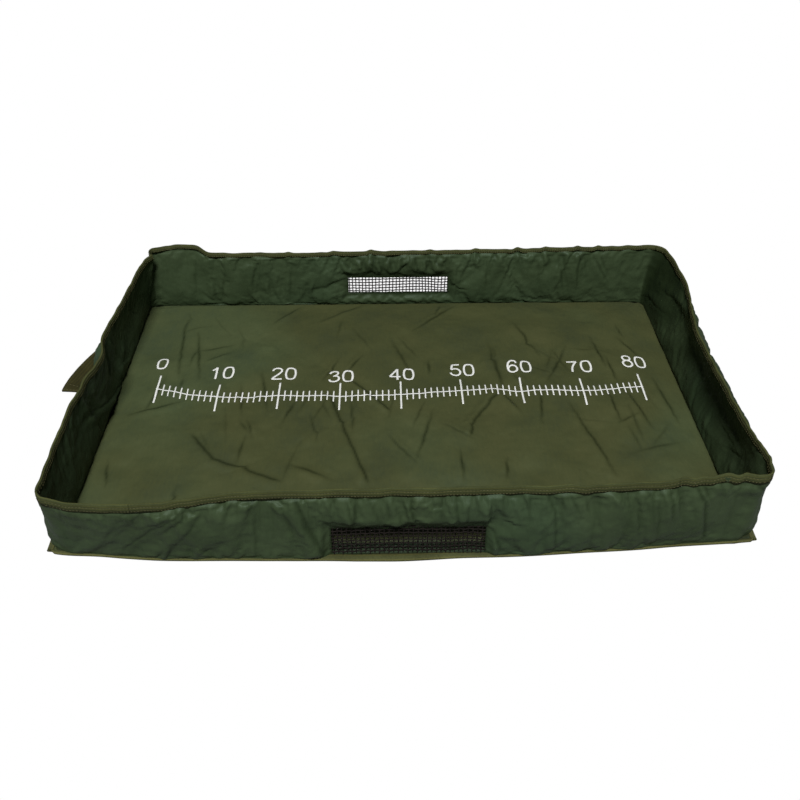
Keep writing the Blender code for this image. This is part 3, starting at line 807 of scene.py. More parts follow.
def curve_through(places, closed):
    """Even steps along a Catmull-Rom curve through the given places."""
    rows = np.array(places, float)
    before, after = (rows[-2], rows[1]) if closed else (2 * rows[0] - rows[1], 2 * rows[-1] - rows[-2])
    wide = np.concatenate((before[None], rows, after[None]))
    share = np.linspace(0.0, 1.0, 8, endpoint=False)[None, :, None]
    a, b, c, d = (wide[k:len(wide) - 3 + k, None, :] for k in range(4))
    cubic = 2 * b + (c - a) * share + (2 * a - 5 * b + 4 * c - d) * share ** 2 + (3 * b - a - 3 * c + d) * share ** 3
    return np.concatenate((cubic.reshape(-1, 2) / 2, rows[-1:]))


def make_numeral(text, x, y, floor):
    """A printed number: each stroke is a band that lies on the creased cloth."""
    grids = []
    start = x - NUMERAL_HEIGHT * (NUMERAL_STEP * (len(text) - 1) + 0.66) / 2
    for index, figure in enumerate(text):
        corner = (start + index * NUMERAL_STEP * NUMERAL_HEIGHT, y - NUMERAL_HEIGHT / 2)
        for kind, *places in FIGURES[figure]:
            if kind == "curve":
                path = curve_through(places, places[0] == places[-1])
            else:
                path = np.linspace(*places, 14)
            grids.append(ink_band(path * NUMERAL_HEIGHT + corner, NUMERAL_STROKE, floor))
    make_print("numeral_" + text, grids)


# The walls: how far each rim leans outwards and rises, by its place along the wall, in millimetres

RIM_TABLES = {
    "front": (
        (-468, 6, -3), (-430, 13, -8), (-380, 15, -11), (-320, 14, -11), (-265, 8, -7), (-220, 2, -3),
        (0, 1, -2), (120, 1, -1), (250, 0, 0), (330, -2, 2), (380, -5, 6), (440, -6, 8), (468, -4, 8),
    ),
    "rear": (
        (-468, -2, 5), (-440, 1, 8), (-400, 5, 10), (-366, 6, 9), (-350, -2, -4), (-180, -3, -5),
        (0, -1, -3), (190, 0, -2), (370, 1, 1), (430, 2, 3), (468, 2, 3),
    ),
    "left": (
        (-295, -5, -3), (-250, -5, -2), (-223, -3, -1), (-176, -3, 0), (-131, -2, 0), (-97, -6, 0), (-76, -6, 0),
        (-53, -11, 0), (-30, -16, 0), (-8, -16, 0), (16, -9, 0), (32, -6, 0), (108, -9, 0), (182, -15, 0),
        (228, -17, 1), (262, -22, 3), (295, -26, 6),
    ),
    "right": (
        (-295, 0, 8), (-265, 4, 6), (-215, 1, 2), (-135, -2, 0), (35, -3, 0), (90, 6, 0),
        (170, 20, 1), (255, 20, 2), (295, 12, 3),
    ),
}
# How far the middle height of a side wall bows outwards, by place along it, in millimetres
WALL_BOWS = {
    "right": ((-290, -7), (-265, -5), (-225, 5), (-160, 17), (-60, 20), (40, 17), (110, 8), (230, 4), (270, 0)),
    "left": ((-280, 0), (-200, 3), (-60, 4), (60, 4), (180, 5), (280, 0)),
    "front": ((-468, 0), (-430, -3), (-360, -2), (-300, 0), (300, 0), (400, 2), (440, -2), (468, -7)),
    "rear": ((-468, 0), (468, 0)),
}
# Small tufts of the rear and front rims, where a stitch pulls the tape up: (place, height) in millimetres
RIM_PEAKS = {
    "rear": (
        (142, 2.6), (219, 3.0), (271, 2.4), (330, 2.8), (368, 3.0), (-50, 2.6), (-200, 2.2), (-120, 1.2), (60, 1.4),
    ),
    "front": ((232, -1.6), (262, 1.2), (356, 2.0), (372, -1.6), (398, 1.6), (418, -1.4), (436, 1.8)),
    "left": (),
    "right": ((95, 2.0), (-60, 1.2), (-150, 1.4)),
}
SIDES = {"front": (0, -1), "right": (1, 0), "rear": (0, 1), "left": (-1, 0)}
# For each side: distance of its crease, end of its board, and whether its places run with x or y
SIDE_SIZES = {
    "front": (CREASE_Y, BOARD_X, 1.0), "right": (CREASE_X, BOARD_Y, 1.0),
    "rear": (CREASE_Y, BOARD_X, -1.0), "left": (CREASE_X, BOARD_Y, -1.0),
}


class Rim:
    """Smooth lean, rise and bow of one wall over its place along the wall."""

    def __init__(self, table, bows, peaks):
        places, leans, rises = in_metres(table)
        self.fine = np.linspace(-0.52, 0.52, 1041)
        columns = ((places, leans), (places, rises), in_metres(bows))
        self.rows = [blurred(self.fine, *pair, 40, 6.0) for pair in columns]
        for place, height in peaks:
            self.rows[1] += height * MM * np.exp(-((self.fine - place * MM) / (5.5 * MM)) ** 2)

    def __call__(self, place):
        return (np.interp(place, self.fine, row) for row in self.rows)


RIMS = {name: Rim(table, WALL_BOWS[name], RIM_PEAKS[name]) for name, table in RIM_TABLES.items()}


class Run:
    """A stretch of wall seen in plan: foot places, outward directions, lean, rise, bow, length, padding.

    The slide moves the rim sideways, along x, where a corner is drawn in.
    """

    KEYS = ("foot", "outward", "lean", "rise", "bow", "length", "stuffing", "slide")

    def __init__(self, *rows):
        for key, row in zip(self.KEYS, rows):
            setattr(self, key, row)

    def cut(self, low, high):
        """Part of the run, from one column up to and with another, also past the closing point."""
        columns = np.arange(low, high + 1)
        wrapped = columns % (len(self.length) - 1)
        part = Run(*(getattr(self, key)[wrapped] for key in self.KEYS))
        part.length = self.length[wrapped] + self.length[-1] * (columns // (len(self.length) - 1))
        return part

    def closed(self, read):
        """A noise round the closed run without a jump at its closing point; read takes places along it."""
        place, total = self.length[None, :], self.length[-1]
        blend = ramp(place, total - CLOSING, total)
        return read(place) * (1 - blend) + read(place - total) * blend

    def points(self, out, height):
        """Points at distances out from the foot and heights, as rows by columns of the run."""
        return with_height(self.foot[None] + self.outward[None] * out[:, :, None], height)


def straight_run(side, low, high, step):
    """Foot places, outward directions, lean, rise and bow of a straight stretch of one side's wall."""
    crease, _, sign = SIDE_SIZES[side]
    out = np.array(SIDES[side], float)
    along = np.array((-out[1], out[0]))
    steps = max(2, round((high - low) / step))
    place = np.linspace(low, high, steps + 1)[:-1]
    foot = crease * out[None, :] + place[:, None] * along[None, :]
    return [foot, np.repeat(out[None, :], steps, axis=0), *RIMS[side](place * sign)]


def wall_run(step):
    """One closed run round the mat: boards, straight ends and quarter arcs, in turn.

    A side's foot lies at its crease, square to its outward direction, and its places are counted
    along the outward direction turned a quarter to the left. Returns the run, and the columns
    where each board starts and ends and where each corner's arc has its middle.
    """
    radius = CORNER_RADIUS - WALL_MIDDLE
    names = list(SIDES)
    parts, marks, count = [], {}, 0
    for index, name in enumerate(names):
        after = names[(index + 1) % 4]
        out, along = (np.array(SIDES[side], float) for side in (name, after))
        crease, board, sign = SIDE_SIZES[name]
        crease_after, board_after, sign_after = SIDE_SIZES[after]
        steps = 2 * max(3, round(radius * math.pi / 4 / step))
        turns = np.linspace(0.0, math.pi / 2, steps + 1)[:-1]
        centre = (crease - radius) * out + (crease_after - radius) * along
        outward = np.cos(turns)[:, None] * out + np.sin(turns)[:, None] * along
        share = ramp(turns, 0.0, math.pi / 2)
        first = RIMS[name](np.full(steps, (crease_after - radius) * sign))
        last = RIMS[after](np.full(steps, -(crease - radius) * sign_after))
        rows = (a * (1 - share) + b * share for a, b in zip(first, last))
        pieces = [
            straight_run(name, -board, board, step),
            straight_run(name, board, crease_after - radius, step),
            [centre + radius * outward, outward, *rows],
            straight_run(after, -(crease - radius), -board_after, step),
        ]
        ends = count + np.cumsum([len(piece[0]) for piece in pieces])
        marks[name] = [count, ends[0], ends[1] + steps // 2]
        count = ends[3]
        parts += pieces
    rows = [np.concatenate([part[key] for part in parts]) for key in range(5)]
    foot, outward, lean, rise, bow = (np.concatenate((row, row[:1])) for row in rows)
    length = np.concatenate(([0.0], np.cumsum(np.linalg.norm(np.diff(foot, axis=0), axis=1))))
    on_long = np.abs(outward[:, 1]) > 0.7
    beside = np.where(on_long, BOARD_X - np.abs(foot[:, 0]), BOARD_Y - np.abs(foot[:, 1]))
    stuffing = 0.5 + 0.5 * ramp(beside, -0.05, 0.05)
    slide = CORNER_SLIDE * ramp(-foot[:, 0], 0.400, 0.455) * ramp(foot[:, 1], 0.262, 0.290)
    return Run(foot, outward, lean, rise, bow, length, stuffing, slide), marks


# Noise and size in millimetres of the swells below the hem, and of those above the foot
GATHERS = [(NoiseLine(0.011, 3.6), 0.7), (NoiseLine(0.024, 3.6), 1.2), (NoiseLine(0.06, 3.6), 1.2)]
LOW_GATHERS = [(NoiseLine(0.016, 3.6), 0.7), (NoiseLine(0.045, 3.6), 1.0)]


def seam_line(run):
    """Where the outer face leaves the base seam: distance out from the crease, and height."""
    x, y = run.foot[:, 0], run.foot[:, 1]
    on_front = ramp(-run.outward[:, 1], 0.0, 1.0)
    out = OUTER_FOOT - front_pull(x) * on_front
    out = out - side_pull(x, y) * np.abs(run.outward[:, 0])
    return out, LIP_Z - 0.6 * MM + seam_lift(x, y)


def wall_sheet(run, shares, outer):
    """Points of one face of the walls before the cloth settles.

    Below the tape the face is a chord from its seam at the foot to the tape's hem, and it bulges
    off the chord as a flattened oval. Inside the tape it runs up beside the middle. Low upright
    swells below the hem and above the foot give the settling cloth its gathers.
    """
    share = shares[:, None]
    hem = RIM_Z - tape_depth(run.outward)[None, :] + run.rise[None, :]
    rim = RIM_Z - 2.0 * MM + run.rise[None, :]
    side = 1.0 if outer else -1.0
    if outer:
        low_out, low_z = (row[None, :] for row in seam_line(run))
    else:
        low_out, low_z = INNER_FOOT, HINGE_Z + 0.5 * MM
    top_out = WALL_MIDDLE + side * RIM_HALF + run.lean[None, :]
    below = np.clip(share / HEM_SHARE, 0.0, 1.0)
    above = np.clip((share - HEM_SHARE) / (1 - HEM_SHARE), 0.0, 1.0)
    oval = np.clip(1 - np.abs(2 * below - 1) ** 2.4, 0.0, 1.0) ** 0.85
    puff = (4.6 * MM if outer else 3.6 * MM) * (0.4 + 0.6 * run.stuffing[None, :])
    settled = (WALL_MIDDLE + side * RIM_HALF - low_out) * below + run.lean[None, :] * below ** 1.3
    settled = settled + run.bow[None, :] * np.sin(math.pi * below ** 1.5)
    out = low_out + settled + side * puff * oval * (above == 0)
    out = np.where(above > 0, top_out, out)
    z = low_z + (hem - low_z) * below + (rim - hem) * above
    under = np.exp(-((1 - below) / 0.30) ** 1.3) * (above == 0) * (below < 1)
    over = np.exp(-(below / 0.22) ** 1.4) * (below > 0)
    high = sum(run.closed(lambda place: line(place + 0.04 * share)) * size for line, size in GATHERS)
    low = sum(run.closed(lambda place: line(place + (0.3 - 0.05 * share))) * size for line, size in LOW_GATHERS)
    out = out + np.tanh((high * under + low * over * 0.5) / 2.2) * 1.2 * MM
    points = run.points(out, z)
    points[:, :, 0] += run.slide[None, :] * below ** 1.3
    return points


class Window:
    """A drain window: half width, low and high edge, and the planes of its hems and its net."""

    def __init__(self, side, node, low_drop, net, inner, shift=0.0, raised=0.0):
        low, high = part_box(node)
        hem = 5 * MM
        self.side = side
        self.sign = SIDES[side][1]
        self.centre = shift
        self.half = high.x - hem - abs(shift)
        self.low = low.z + hem - low_drop
        self.inner_low = low.z + hem
        self.high = high.z - hem + raised
        self.net = net
        self.inner = inner

    def net_plane(self, z):
        """Distance of the net out from the crease, at a height: it leans with the wall's outer face."""
        return np.interp(z, (self.low, self.high), self.net)

    def beyond(self, grid, outer):
        """Distance of points from the window's edge, negative inside it, and which points face it."""
        x, y, z = (grid[:, :, axis] for axis in range(3))
        low = self.low if outer else self.inner_low
        distance = np.maximum(np.abs(x - self.centre) - self.half, np.maximum(low - z, 0.55 * (z - self.high)))
        return distance, y * self.sign > CREASE_Y - 0.03

    def hole(self, sheet):
        """Cells of the outer sheet whose middle lies inside the window."""
        middle = (sheet[1:, 1:] + sheet[1:, :-1] + sheet[:-1, 1:] + sheet[:-1, :-1]) / 4
        inside = np.abs(middle[:, :, 0] - self.centre) < self.half
        inside &= (middle[:, :, 2] > self.low) & (middle[:, :, 2] < self.high)
        return inside & (middle[:, :, 1] * self.sign > CREASE_Y - 0.03)

    def pinch(self, sheet, outer, hole):
        """Draw the cloth round the window to its hem, and put the hole's border on the window's edge.

        The pull fades over a short reach on a smooth step. Gives back the points of the border.
        """
        low = self.low if outer else self.inner_low
        rows, columns = np.nonzero(hole)
        first_row, last_row = rows.min(), rows.max() + 1
        first_column, last_column = columns.min(), columns.max() + 1
        y, z = sheet[:, :, 1], sheet[:, :, 2]
        distance, here = self.beyond(sheet, outer)
        near = (1 - ramp(distance, 1.0 * MM, PINCH_REACH)) * here
        depth = self.net_plane(z) + 0.8 * MM if outer else self.inner
        sheet[:, :, 1] = y * (1 - near) + self.sign * (CREASE_Y + depth) * near
        side_sign = np.sign(sheet[first_row, first_column, 0] - self.centre)
        sheet[first_row:last_row + 1, first_column, 0] = self.centre + side_sign * self.half
        sheet[first_row:last_row + 1, last_column, 0] = self.centre - side_sign * self.half
        sheet[first_row, first_column:last_column + 1, 2] = low
        sheet[last_row, first_column:last_column + 1, 2] = self.high
        border = np.zeros(sheet.shape[:2], dtype=bool)
        border[first_row:last_row + 1, first_column:last_column + 1] = True
        border[first_row + 1:last_row, first_column + 1:last_column] = False
        return border


WALL_STEP = 4.2 * MM
WALL_ROWS = 33
SETTLE_FRAMES = 12
CLOTH_SETTINGS = {
    "quality": 5, "mass": 0.08, "air_damping": 2.0, "tension_stiffness": 30.0, "compression_stiffness": 30.0,
    "shear_stiffness": 10.0, "bending_stiffness": 0.15, "tension_damping": 2.0, "compression_damping": 2.0,
    "shear_damping": 2.0, "vertex_group_mass": "pins", "vertex_group_shrink": "held_back",
    "use_pressure": True, "uniform_pressure_force": 1.0,
}


def settle(name, points, faces, pinned, grow):
    """Let a cloth that is cut larger than its seams buckle between them, and give back its points.

    Pinned points stay. The cloth's springs are longer than the mesh by the share in grow, and a
    light pressure lifts it, so the spare cloth goes into gathers and creases.
    """
    mesh = bpy.data.meshes.new(name)
    mesh.from_pydata(points.tolist(), [], faces.tolist())
    mesh.update()
    item = add_object(name, mesh)
    scene = bpy.context.scene
    item.vertex_groups.new(name="pins").add(np.nonzero(pinned)[0].tolist(), 1.0, "REPLACE")
    held_back = item.vertex_groups.new(name="held_back")
    levels = np.round((1 - grow / grow.max()) * 20).astype(int)
    for level in range(1, 21):
        chosen = np.nonzero(levels == level)[0].tolist()
        if chosen:
            held_back.add(chosen, level / 20, "REPLACE")
    cloth = item.modifiers.new("settle", "CLOTH")
    for key, value in CLOTH_SETTINGS.items():
        setattr(cloth.settings, key, value)
    cloth.settings.shrink_min = -float(grow.max())
    cloth.settings.effector_weights.gravity = 0.0
    cloth.collision_settings.use_collision = False
    cloth.point_cache.frame_start = 1
    cloth.point_cache.frame_end = SETTLE_FRAMES
    for frame_number in range(1, SETTLE_FRAMES + 1):
        scene.frame_set(frame_number)
    settled = item.evaluated_get(bpy.context.evaluated_depsgraph_get()).to_mesh()
    result = np.zeros(len(points) * 3)
    settled.vertices.foreach_get("co", result)
    bpy.data.objects.remove(item)
    scene.frame_set(1)
    moved = result.reshape(-1, 3) - points
    reach = np.linalg.norm(moved, axis=1, keepdims=True)
    return points + moved * (MOVE_CAP * np.tanh(reach / MOVE_CAP) / np.maximum(reach, 1e-9))


def halved(rows):
    """Twice as many rows, with each new one on a Catmull-Rom curve through the old ones."""
    wide = np.concatenate((2 * rows[:1] - rows[1:2], rows, 2 * rows[-1:] - rows[-2:-1]))
    fine = np.empty((2 * len(rows) - 1, *rows.shape[1:]))
    fine[0::2] = rows
    fine[1::2] = (9 * (wide[1:-2] + wide[2:-1]) - wide[:-3] - wide[3:]) / 16
    return fine


def refine(grid):
    """Twice as many points along both ways of a grid."""
    return np.swapaxes(halved(np.swapaxes(halved(grid), 0, 1)), 0, 1)


FINE_FIELDS = [(NoiseField(0.028, 0.022, 3.4), 0.28 * MM), (NoiseField(0.010, 0.009, 3.4), 0.10 * MM)]
WALL_HEIGHT = 0.125
# Gathers of one face of the walls, off its upper seam and off its foot: (spacing, reach, size) in millimetres
TOP_GATHERS = ((12, 13, 1.2), (25, 30, 1.7), (58, 120, 2.2))
FOOT_GATHERS = ((16, 12, 0.8), (34, 30, 1.0))


class Gathers:
    """Rounded ridges with narrow valleys between them, round the closed run, which die out off a seam.

    Height = size * |sin(phase)| ** 0.7 * exp(-(distance / reach) ** 1.6). The phase climbs by a whole
    number of half turns round the run, faster and slower by a noise row. The size, the reach and the
    slant of the ridges follow noise rows too.
    """

    def __init__(self, total, spacing, reach, size):
        count = int(total / (2 * MM))
        pace = np.exp(0.5 * ring_noise(count, 1.5 * spacing / 2))
        phase = np.concatenate(([0.0], np.cumsum(pace)))
        self.places = np.linspace(0.0, total, count + 1)
        self.phase = phase / phase[-1] * round(total / (spacing * MM)) * math.pi
        swell, depth, slant = (ring_noise(count, 24) for _ in range(3))
        self.size = self.closed(size * MM * np.clip(0.75 + 0.65 * swell, 0.05, 2.0))
        self.reach = self.closed(reach * MM * np.exp(0.5 * depth))
        self.slant = self.closed(0.16 * slant)
        self.total = total

    @staticmethod
    def closed(row):
        return np.append(row, row[0])

    def __call__(self, place, distance):
        """Height and valley shade over a grid: places by columns, distances from the seam by rows."""
        rows = (self.size, self.reach, self.slant)
        size, reach, slant = (np.interp(place, self.places, row)[None, :] for row in rows)
        moved = np.mod(place[None, :] + slant * distance[:, None], self.total)
        ridge = np.abs(np.sin(np.interp(moved, self.places, self.phase)))
        fade = np.exp(-np.maximum(distance[:, None] / reach, 0.0) ** 1.6)
        return size * fade * ridge ** 0.7, fade * (1 - ridge) ** 4 * np.clip(size / (2.5 * MM), 0.0, 1.0)


# Folds of the walls, in millimetres: size, width, then the place along the wall and the height
# of each point of its run. Each table is for one side, and for its outer or its inner face.
WALL_FOLDS = {
    ("front", True): (
        (1.6, 4, -198, 88, -206, 4), (3.0, 11, -154, 116, -139, 62, -122, 16), (2.2, 9, -170, 104, -154, 34),
        (1.8, 9, -286, 109, -332, 74, -374, 34), (1.5, 7, -294, 104, -346, 71), (1.6, 8, -276, 107, -333, 56),
        (2.0, 9, -268, 100, -310, 40), (2.0, 6, -323, 32, -341, 6), (1.8, 5, -315, 31, -324, 6),
        (2.0, 5, -275, 25, -262, 6), (1.6, 5, -293, 29, -287, 5), (2.4, 6, -227, 112, -238, 84),
        (2.4, 5, -199, 112, -206, 90), (2.2, 5, -93, 114, -100, 100), (2.6, 6, -82, 104, -73, 68),
        (3.0, 6, -69, 112, -73, 64), (2.2, 5, -30, 103, -26, 70), (3.0, 5, 2, 112, 2, 89, 10, 62),
        (2.0, 7, -20, 98, -8, 52), (2.4, 6, 57, 112, 60, 85, 65, 50), (2.0, 6, 76, 110, 75, 51),
        (3.0, 5, 104, 108, 107, 49), (3.0, 7, 109, 50, 124, 6), (2.2, 5, 148, 116, 157, 104),
        (2.4, 8, 176, 105, 186, 82, 192, 27), (2.6, 5, 191, 118, 201, 104), (2.6, 6, 207, 108, 219, 80),
        (3.2, 6, 228, 122, 233, 104), (2.2, 6, 226, 99, 235, 76), (3.0, 6, 264, 116, 278, 98),
        (3.0, 5, 305, 120, 311, 102), (3.0, 5, 318, 122, 327, 102), (2.8, 6, 333, 122, 346, 60),
        (2.8, 6, 343, 122, 354, 76), (3.2, 8, 363, 120, 382, 88, 396, 24), (3.4, 6, 374, 122, 391, 92),
        (3.0, 5, 397, 124, 405, 110), (2.8, 5, 410, 124, 417, 112), (3.0, 9, 439, 124, 460, 95, 462, 40),
        (2.0, 9, 291, 98, 305, 25), (2.0, 9, 318, 98, 328, 25), (1.6, 4, -400, 108, -402, 96),
        (1.6, 4, -386, 108, -387, 97), (1.4, 14, -380, 90, -420, 30),
    ),
    ("rear", False): (
        (1.8, 7, -379, 100, -386, 40), (1.8, 6, -351, 60, -347, 18), (1.8, 7, -326, 84, -341, 18),
        (1.5, 6, -270, 88, -279, 36), (1.6, 5, -243, 62, -245, 34), (1.8, 6, -204, 82, -208, 28),
        (1.8, 5, -159, 62, -166, 34), (1.6, 5, -177, 42, -190, 18), (3.0, 6, -107, 99, -84, 74),
        (3.4, 6, -59, 106, -41, 76), (3.6, 5, -49, 110, -50, 92), (3.6, 5, -39, 100, -33, 74),
        (3.2, 6, 22, 112, -6, 82), (3.6, 6, 26, 108, 32, 78), (3.2, 7, 60, 99, 90, 76), (3.0, 6, -75, 102, -61, 78),
        (3.0, 6, -20, 104, -16, 76), (3.0, 5, 47, 106, 50, 78), (2.8, 5, 142, 114, 147, 94),
        (1.8, 6, 159, 84, 159, 46), (2.0, 6, 189, 104, 211, 66), (2.4, 7, 292, 97, 308, 34),
        (2.2, 7, 328, 97, 330, 44), (2.6, 7, 357, 101, 388, 54), (2.4, 6, 368, 109, 390, 65),
        (2.8, 5, 219, 116, 225, 96), (2.6, 5, 271, 114, 279, 90), (2.4, 5, 330, 112, 336, 92),
        (1.6, 6, -120, 30, -60, 44), (1.4, 6, -30, 40, 20, 34),
    ),
    ("left", False): (
        (3.0, 8, -105, 112, -89, 57), (3.0, 8, -88, 58, -2, 24, 58, 6), (1.6, 6, -8, 82, -43, 70),
        (2.0, 7, 34, 96, 24, 58), (1.8, 7, 50, 42, 108, 20), (1.8, 7, 113, 63, 80, 40), (2.0, 8, 41, 110, 58, 78),
        (1.6, 7, -88, 58, -81, 16), (1.6, 7, 68, 50, 65, 8), (1.6, 8, -30, 60, -40, 20), (1.6, 8, 0, 70, 8, 30),
        (1.4, 10, 150, 90, 200, 40),
    ),
    ("right", False): (
        (2.4, 9, 242, 78, 130, 106), (2.0, 8, 174, 90, 101, 103), (2.0, 9, 299, 33, 187, 62),
        (1.8, 7, -139, 45, -199, 74), (2.0, 7, -99, 60, -183, 68), (1.4, 8, 60, 30, 90, 70),
        (1.8, 8, -20, 20, 10, 60), (1.8, 7, -90, 20, -70, 50),
    ),
}


def gather_cloth(band, run, shares, outer, windows):
    """Work gathers and folds into one settled face of the walls, and give back its painted shade.

    Gathers hang from the rim's seam and rise off the foot, always away from the padding. They fade
    out beside a drain window. The listed folds are added over them.
    """
    total = run.length[-1]
    under = np.maximum(HEM_SHARE - shares, 0.0) * WALL_HEIGHT
    over = shares * WALL_HEIGHT
    height, shade = np.zeros(band.shape[:2]), np.zeros(band.shape[:2])
    for table, distance in ((TOP_GATHERS, under), (FOOT_GATHERS, over)):
        for spacing, reach, size in table:
            ridges, valleys = Gathers(total, spacing, reach, size)(run.length, distance)
            height += ridges
            # Painted shade in the valleys of the gathers.
            shade = np.maximum(shade, 0.5 * valleys)
    edge = (ramp(over, 0.0, 10 * MM) * (shares < HEM_SHARE + 1e-6))[:, None]
    z = band[:, :, 2]
    rims = np.zeros(band.shape[:2])
    for window in windows:
        distance, beside = window.beyond(band, outer)
        edge = edge * np.where(beside, ramp(distance, 0.5 * MM, 12 * MM), 1.0)
        # Painted shade at each window's edge; on the inner face also a wider band of it round the window.
        rims = np.maximum(rims, beside * np.exp(-(distance / (2.2 * MM)) ** 2))
        if not outer:
            rims = np.maximum(rims, 0.5 * beside * np.exp(-(np.maximum(distance, 0.0) / (9 * MM)) ** 2))
    calm = 1.0 - INNER_CALM * ramp(np.abs(run.outward[:, 0]), 0.3, 0.9) * (not outer)
    calm = calm * (0.45 + 0.55 * ramp(run.stuffing, 0.5, 0.9))
    slope = edge * (0.12 + 0.88 * ramp(under, 0.0, 15 * MM))[:, None]
    height, shade = height * slope * calm[None, :], shade * edge * calm[None, :]
    # Painted shade along the foot of the walls, then the painted shade round the windows.
    shade = np.maximum(np.maximum(shade, 0.55 * np.exp(-(over / (5 * MM)) ** 2)[:, None]), rims)
    if not outer:
        # Painted shade: the side walls' inner faces are darkened in streaks, most at the right wall's rear end.
        streaks = HEM_WAVE(run.length[None, :] * 0.5 + 0.9 * z)
        at_right = ramp(run.outward[:, 0], 0.45, 0.8)
        at_left = ramp(-run.outward[:, 0], 0.45, 0.8)
        corner = at_right * ramp(run.foot[:, 1], 0.10, 0.24)
        side_painted_shade = at_right * (0.42 + 0.20 * streaks) + 0.45 * corner + at_left * (0.45 + 0.22 * streaks)
        shade = np.maximum(shade, np.clip(side_painted_shade, 0.0, 0.92))
    for (side, on_outer), folds in WALL_FOLDS.items():
        if on_outer != outer:
            continue
        axis = 0 if SIDES[side][0] == 0 else 1
        columns = run.outward @ np.array(SIDES[side], float) > 0.7
        place = band[:, :, axis]
        for points, size, width in fold_rows(folds):
            span = [along for along, _ in points]
            within = (place[0] > min(span) - 6 * width) & (place[0] < max(span) + 6 * width)
            near = np.nonzero(columns & within)[0]
            rise, dark = crease_shape(place[:, near], z[:, near], points, size, width)
            height[:, near] += rise * slope[:, near]
            # Painted shade along each fold's V.
            shade[:, near] = np.maximum(shade[:, near], dark * edge[:, near] * min(1.0, 0.22 * size / MM))
    side = 1.0 if outer else -1.0
    band[:, :, :2] += run.outward[None] * (side * height)[:, :, None]
    return shade


def spare_cloth(sheet, run, shares, outer, windows):
    """Share by which each point's springs are longer: most below the hem, little beside a window."""
    grow = 0.028 + 0.055 * np.exp(-((HEM_SHARE - shares) / 0.25) ** 2) + 0.012 * np.exp(-(shares / 0.2) ** 2)
    grow = grow[:, None] * (0.25 + 0.75 * ramp(run.stuffing, 0.5, 0.95))[None, :]
    for window in windows:
        distance, beside = window.beyond(sheet, outer)
        grow = grow * np.where(beside, 0.3 + 0.7 * ramp(distance, 2 * MM, 22 * MM), 1.0)
    if not outer:
        grow = grow * (1.0 - 0.85 * ramp(np.abs(run.outward[:, 0]), 0.3, 0.9))[None, :]
    return grow


def make_wall_cloth(windows):
    """Both faces of all the walls as two closed bands of cloth, settled, refined and lightly crumpled."""
    run, marks = wall_run(WALL_STEP)
    even = np.linspace(0.0, 1.0, WALL_ROWS)
    shares = even - 0.02 * np.sin(2 * math.pi * even)
    shares[np.argmin(np.abs(shares - HEM_SHARE))] = HEM_SHARE
    rows, around = len(shares), len(run.length) - 1
    quads = tube_quads(rows, around).reshape(rows - 1, around, 4)
    sheets, faces, pins, grows = [], [], [], []
    hole = np.zeros((rows - 1, around), dtype=bool)
    for outer in (True, False):
        sheet = wall_sheet(run, shares, outer)
        pin = np.zeros(sheet.shape[:2], dtype=bool)
        for window in windows:
            if outer:
                window.cells = window.hole(sheet)
                hole |= window.cells
            pin |= window.pinch(sheet, outer, window.cells)
        pin[0] = True
        pin[shares >= HEM_SHARE - 1e-6] = True
        kept = quads[~hole]
        faces.append(kept if outer else kept[:, ::-1] + rows * around)
        sheets.append(sheet)
        pins.append(pin[:, :-1].ravel())
        grows.append(spare_cloth(sheet, run, shares, outer, windows)[:, :-1].ravel())
    points = np.concatenate([sheet[:, :-1].reshape(-1, 3) for sheet in sheets])
    settled = settle("wall_cloth", points, *(np.concatenate(part) for part in (faces, pins, grows)))
    fine_run = Run(*(halved(getattr(run, key)) for key in Run.KEYS))
    fine_run.outward = unit(fine_run.outward)
    fine_shares = halved(shares)
    free = ramp(fine_shares, 0.0, 0.08) * (1 - ramp(fine_shares, HEM_SHARE - 0.06, HEM_SHARE))
    bands = []
    for index, (sheet, band) in enumerate(zip(sheets, settled.reshape(2, rows, around, 3))):
        band = np.concatenate((band, band[:, :1]), axis=1)
        band = refine(keep_to_foam(band, sheet, run, index == 0))
        shade = gather_cloth(band, fine_run, fine_shares, index == 0, windows)
        up = fine_shares[:, None] * 0.12 + index
        crumple = sum(fine_run.closed(lambda place: field(place, up)) * size for field, size in FINE_FIELDS)
        band[:, :, :2] += fine_run.outward[None] * (crumple * free[:, None])[:, :, None]
        bands.append((band, shade))
    marks = {side: [2 * column for column in columns] for side, columns in marks.items()}
    return fine_run, marks, fine_shares, bands, np.repeat(np.repeat(hole, 2, axis=0), 2, axis=1)


def keep_to_foam(band, sheet, run, outer):
    """Hold settled cloth clear of the foam: it sinks at most a little behind its first face."""
    side = 1.0 if outer else -1.0
    moved = np.sum((band - sheet)[:, :, :2] * run.outward[None], axis=2) * side
    held = np.where(moved < 0, -SINK_CAP * np.tanh(-moved / SINK_CAP), moved)
    band[:, :, :2] += run.outward[None] * (side * (held - moved))[:, :, None]
    return band


def cloth_coordinates(run, shares, shift):
    """Cloth coordinates in metres: along the run, and up the wall."""
    along = np.repeat(run.length[None, :], len(shares), axis=0)
    up = np.repeat(shares[:, None] * RIM_Z + shift, len(run.length), axis=1)
    return np.stack((along, up), axis=2)


def make_piece(name, run, shares, bands, hole, low, high):
    """One stretch of wall cut from the two bands, closed along its edges and round its window."""
    part = run.cut(low, high)
    around = len(run.length) - 1
    points, cells = np.arange(low, high + 1) % around, np.arange(low, high) % around
    (outer, outer_shade), (inner, inner_shade) = ([grid[:, points] for grid in band] for band in bands)
    uvs = cloth_coordinates(part, shares, 0.0)
    folds = (outer_shade, inner_shade)
    return part, shell(name, outer, inner, WALL_NYLON, uvs, uvs + (0.0, 0.3), ~hole[:, cells], folds)


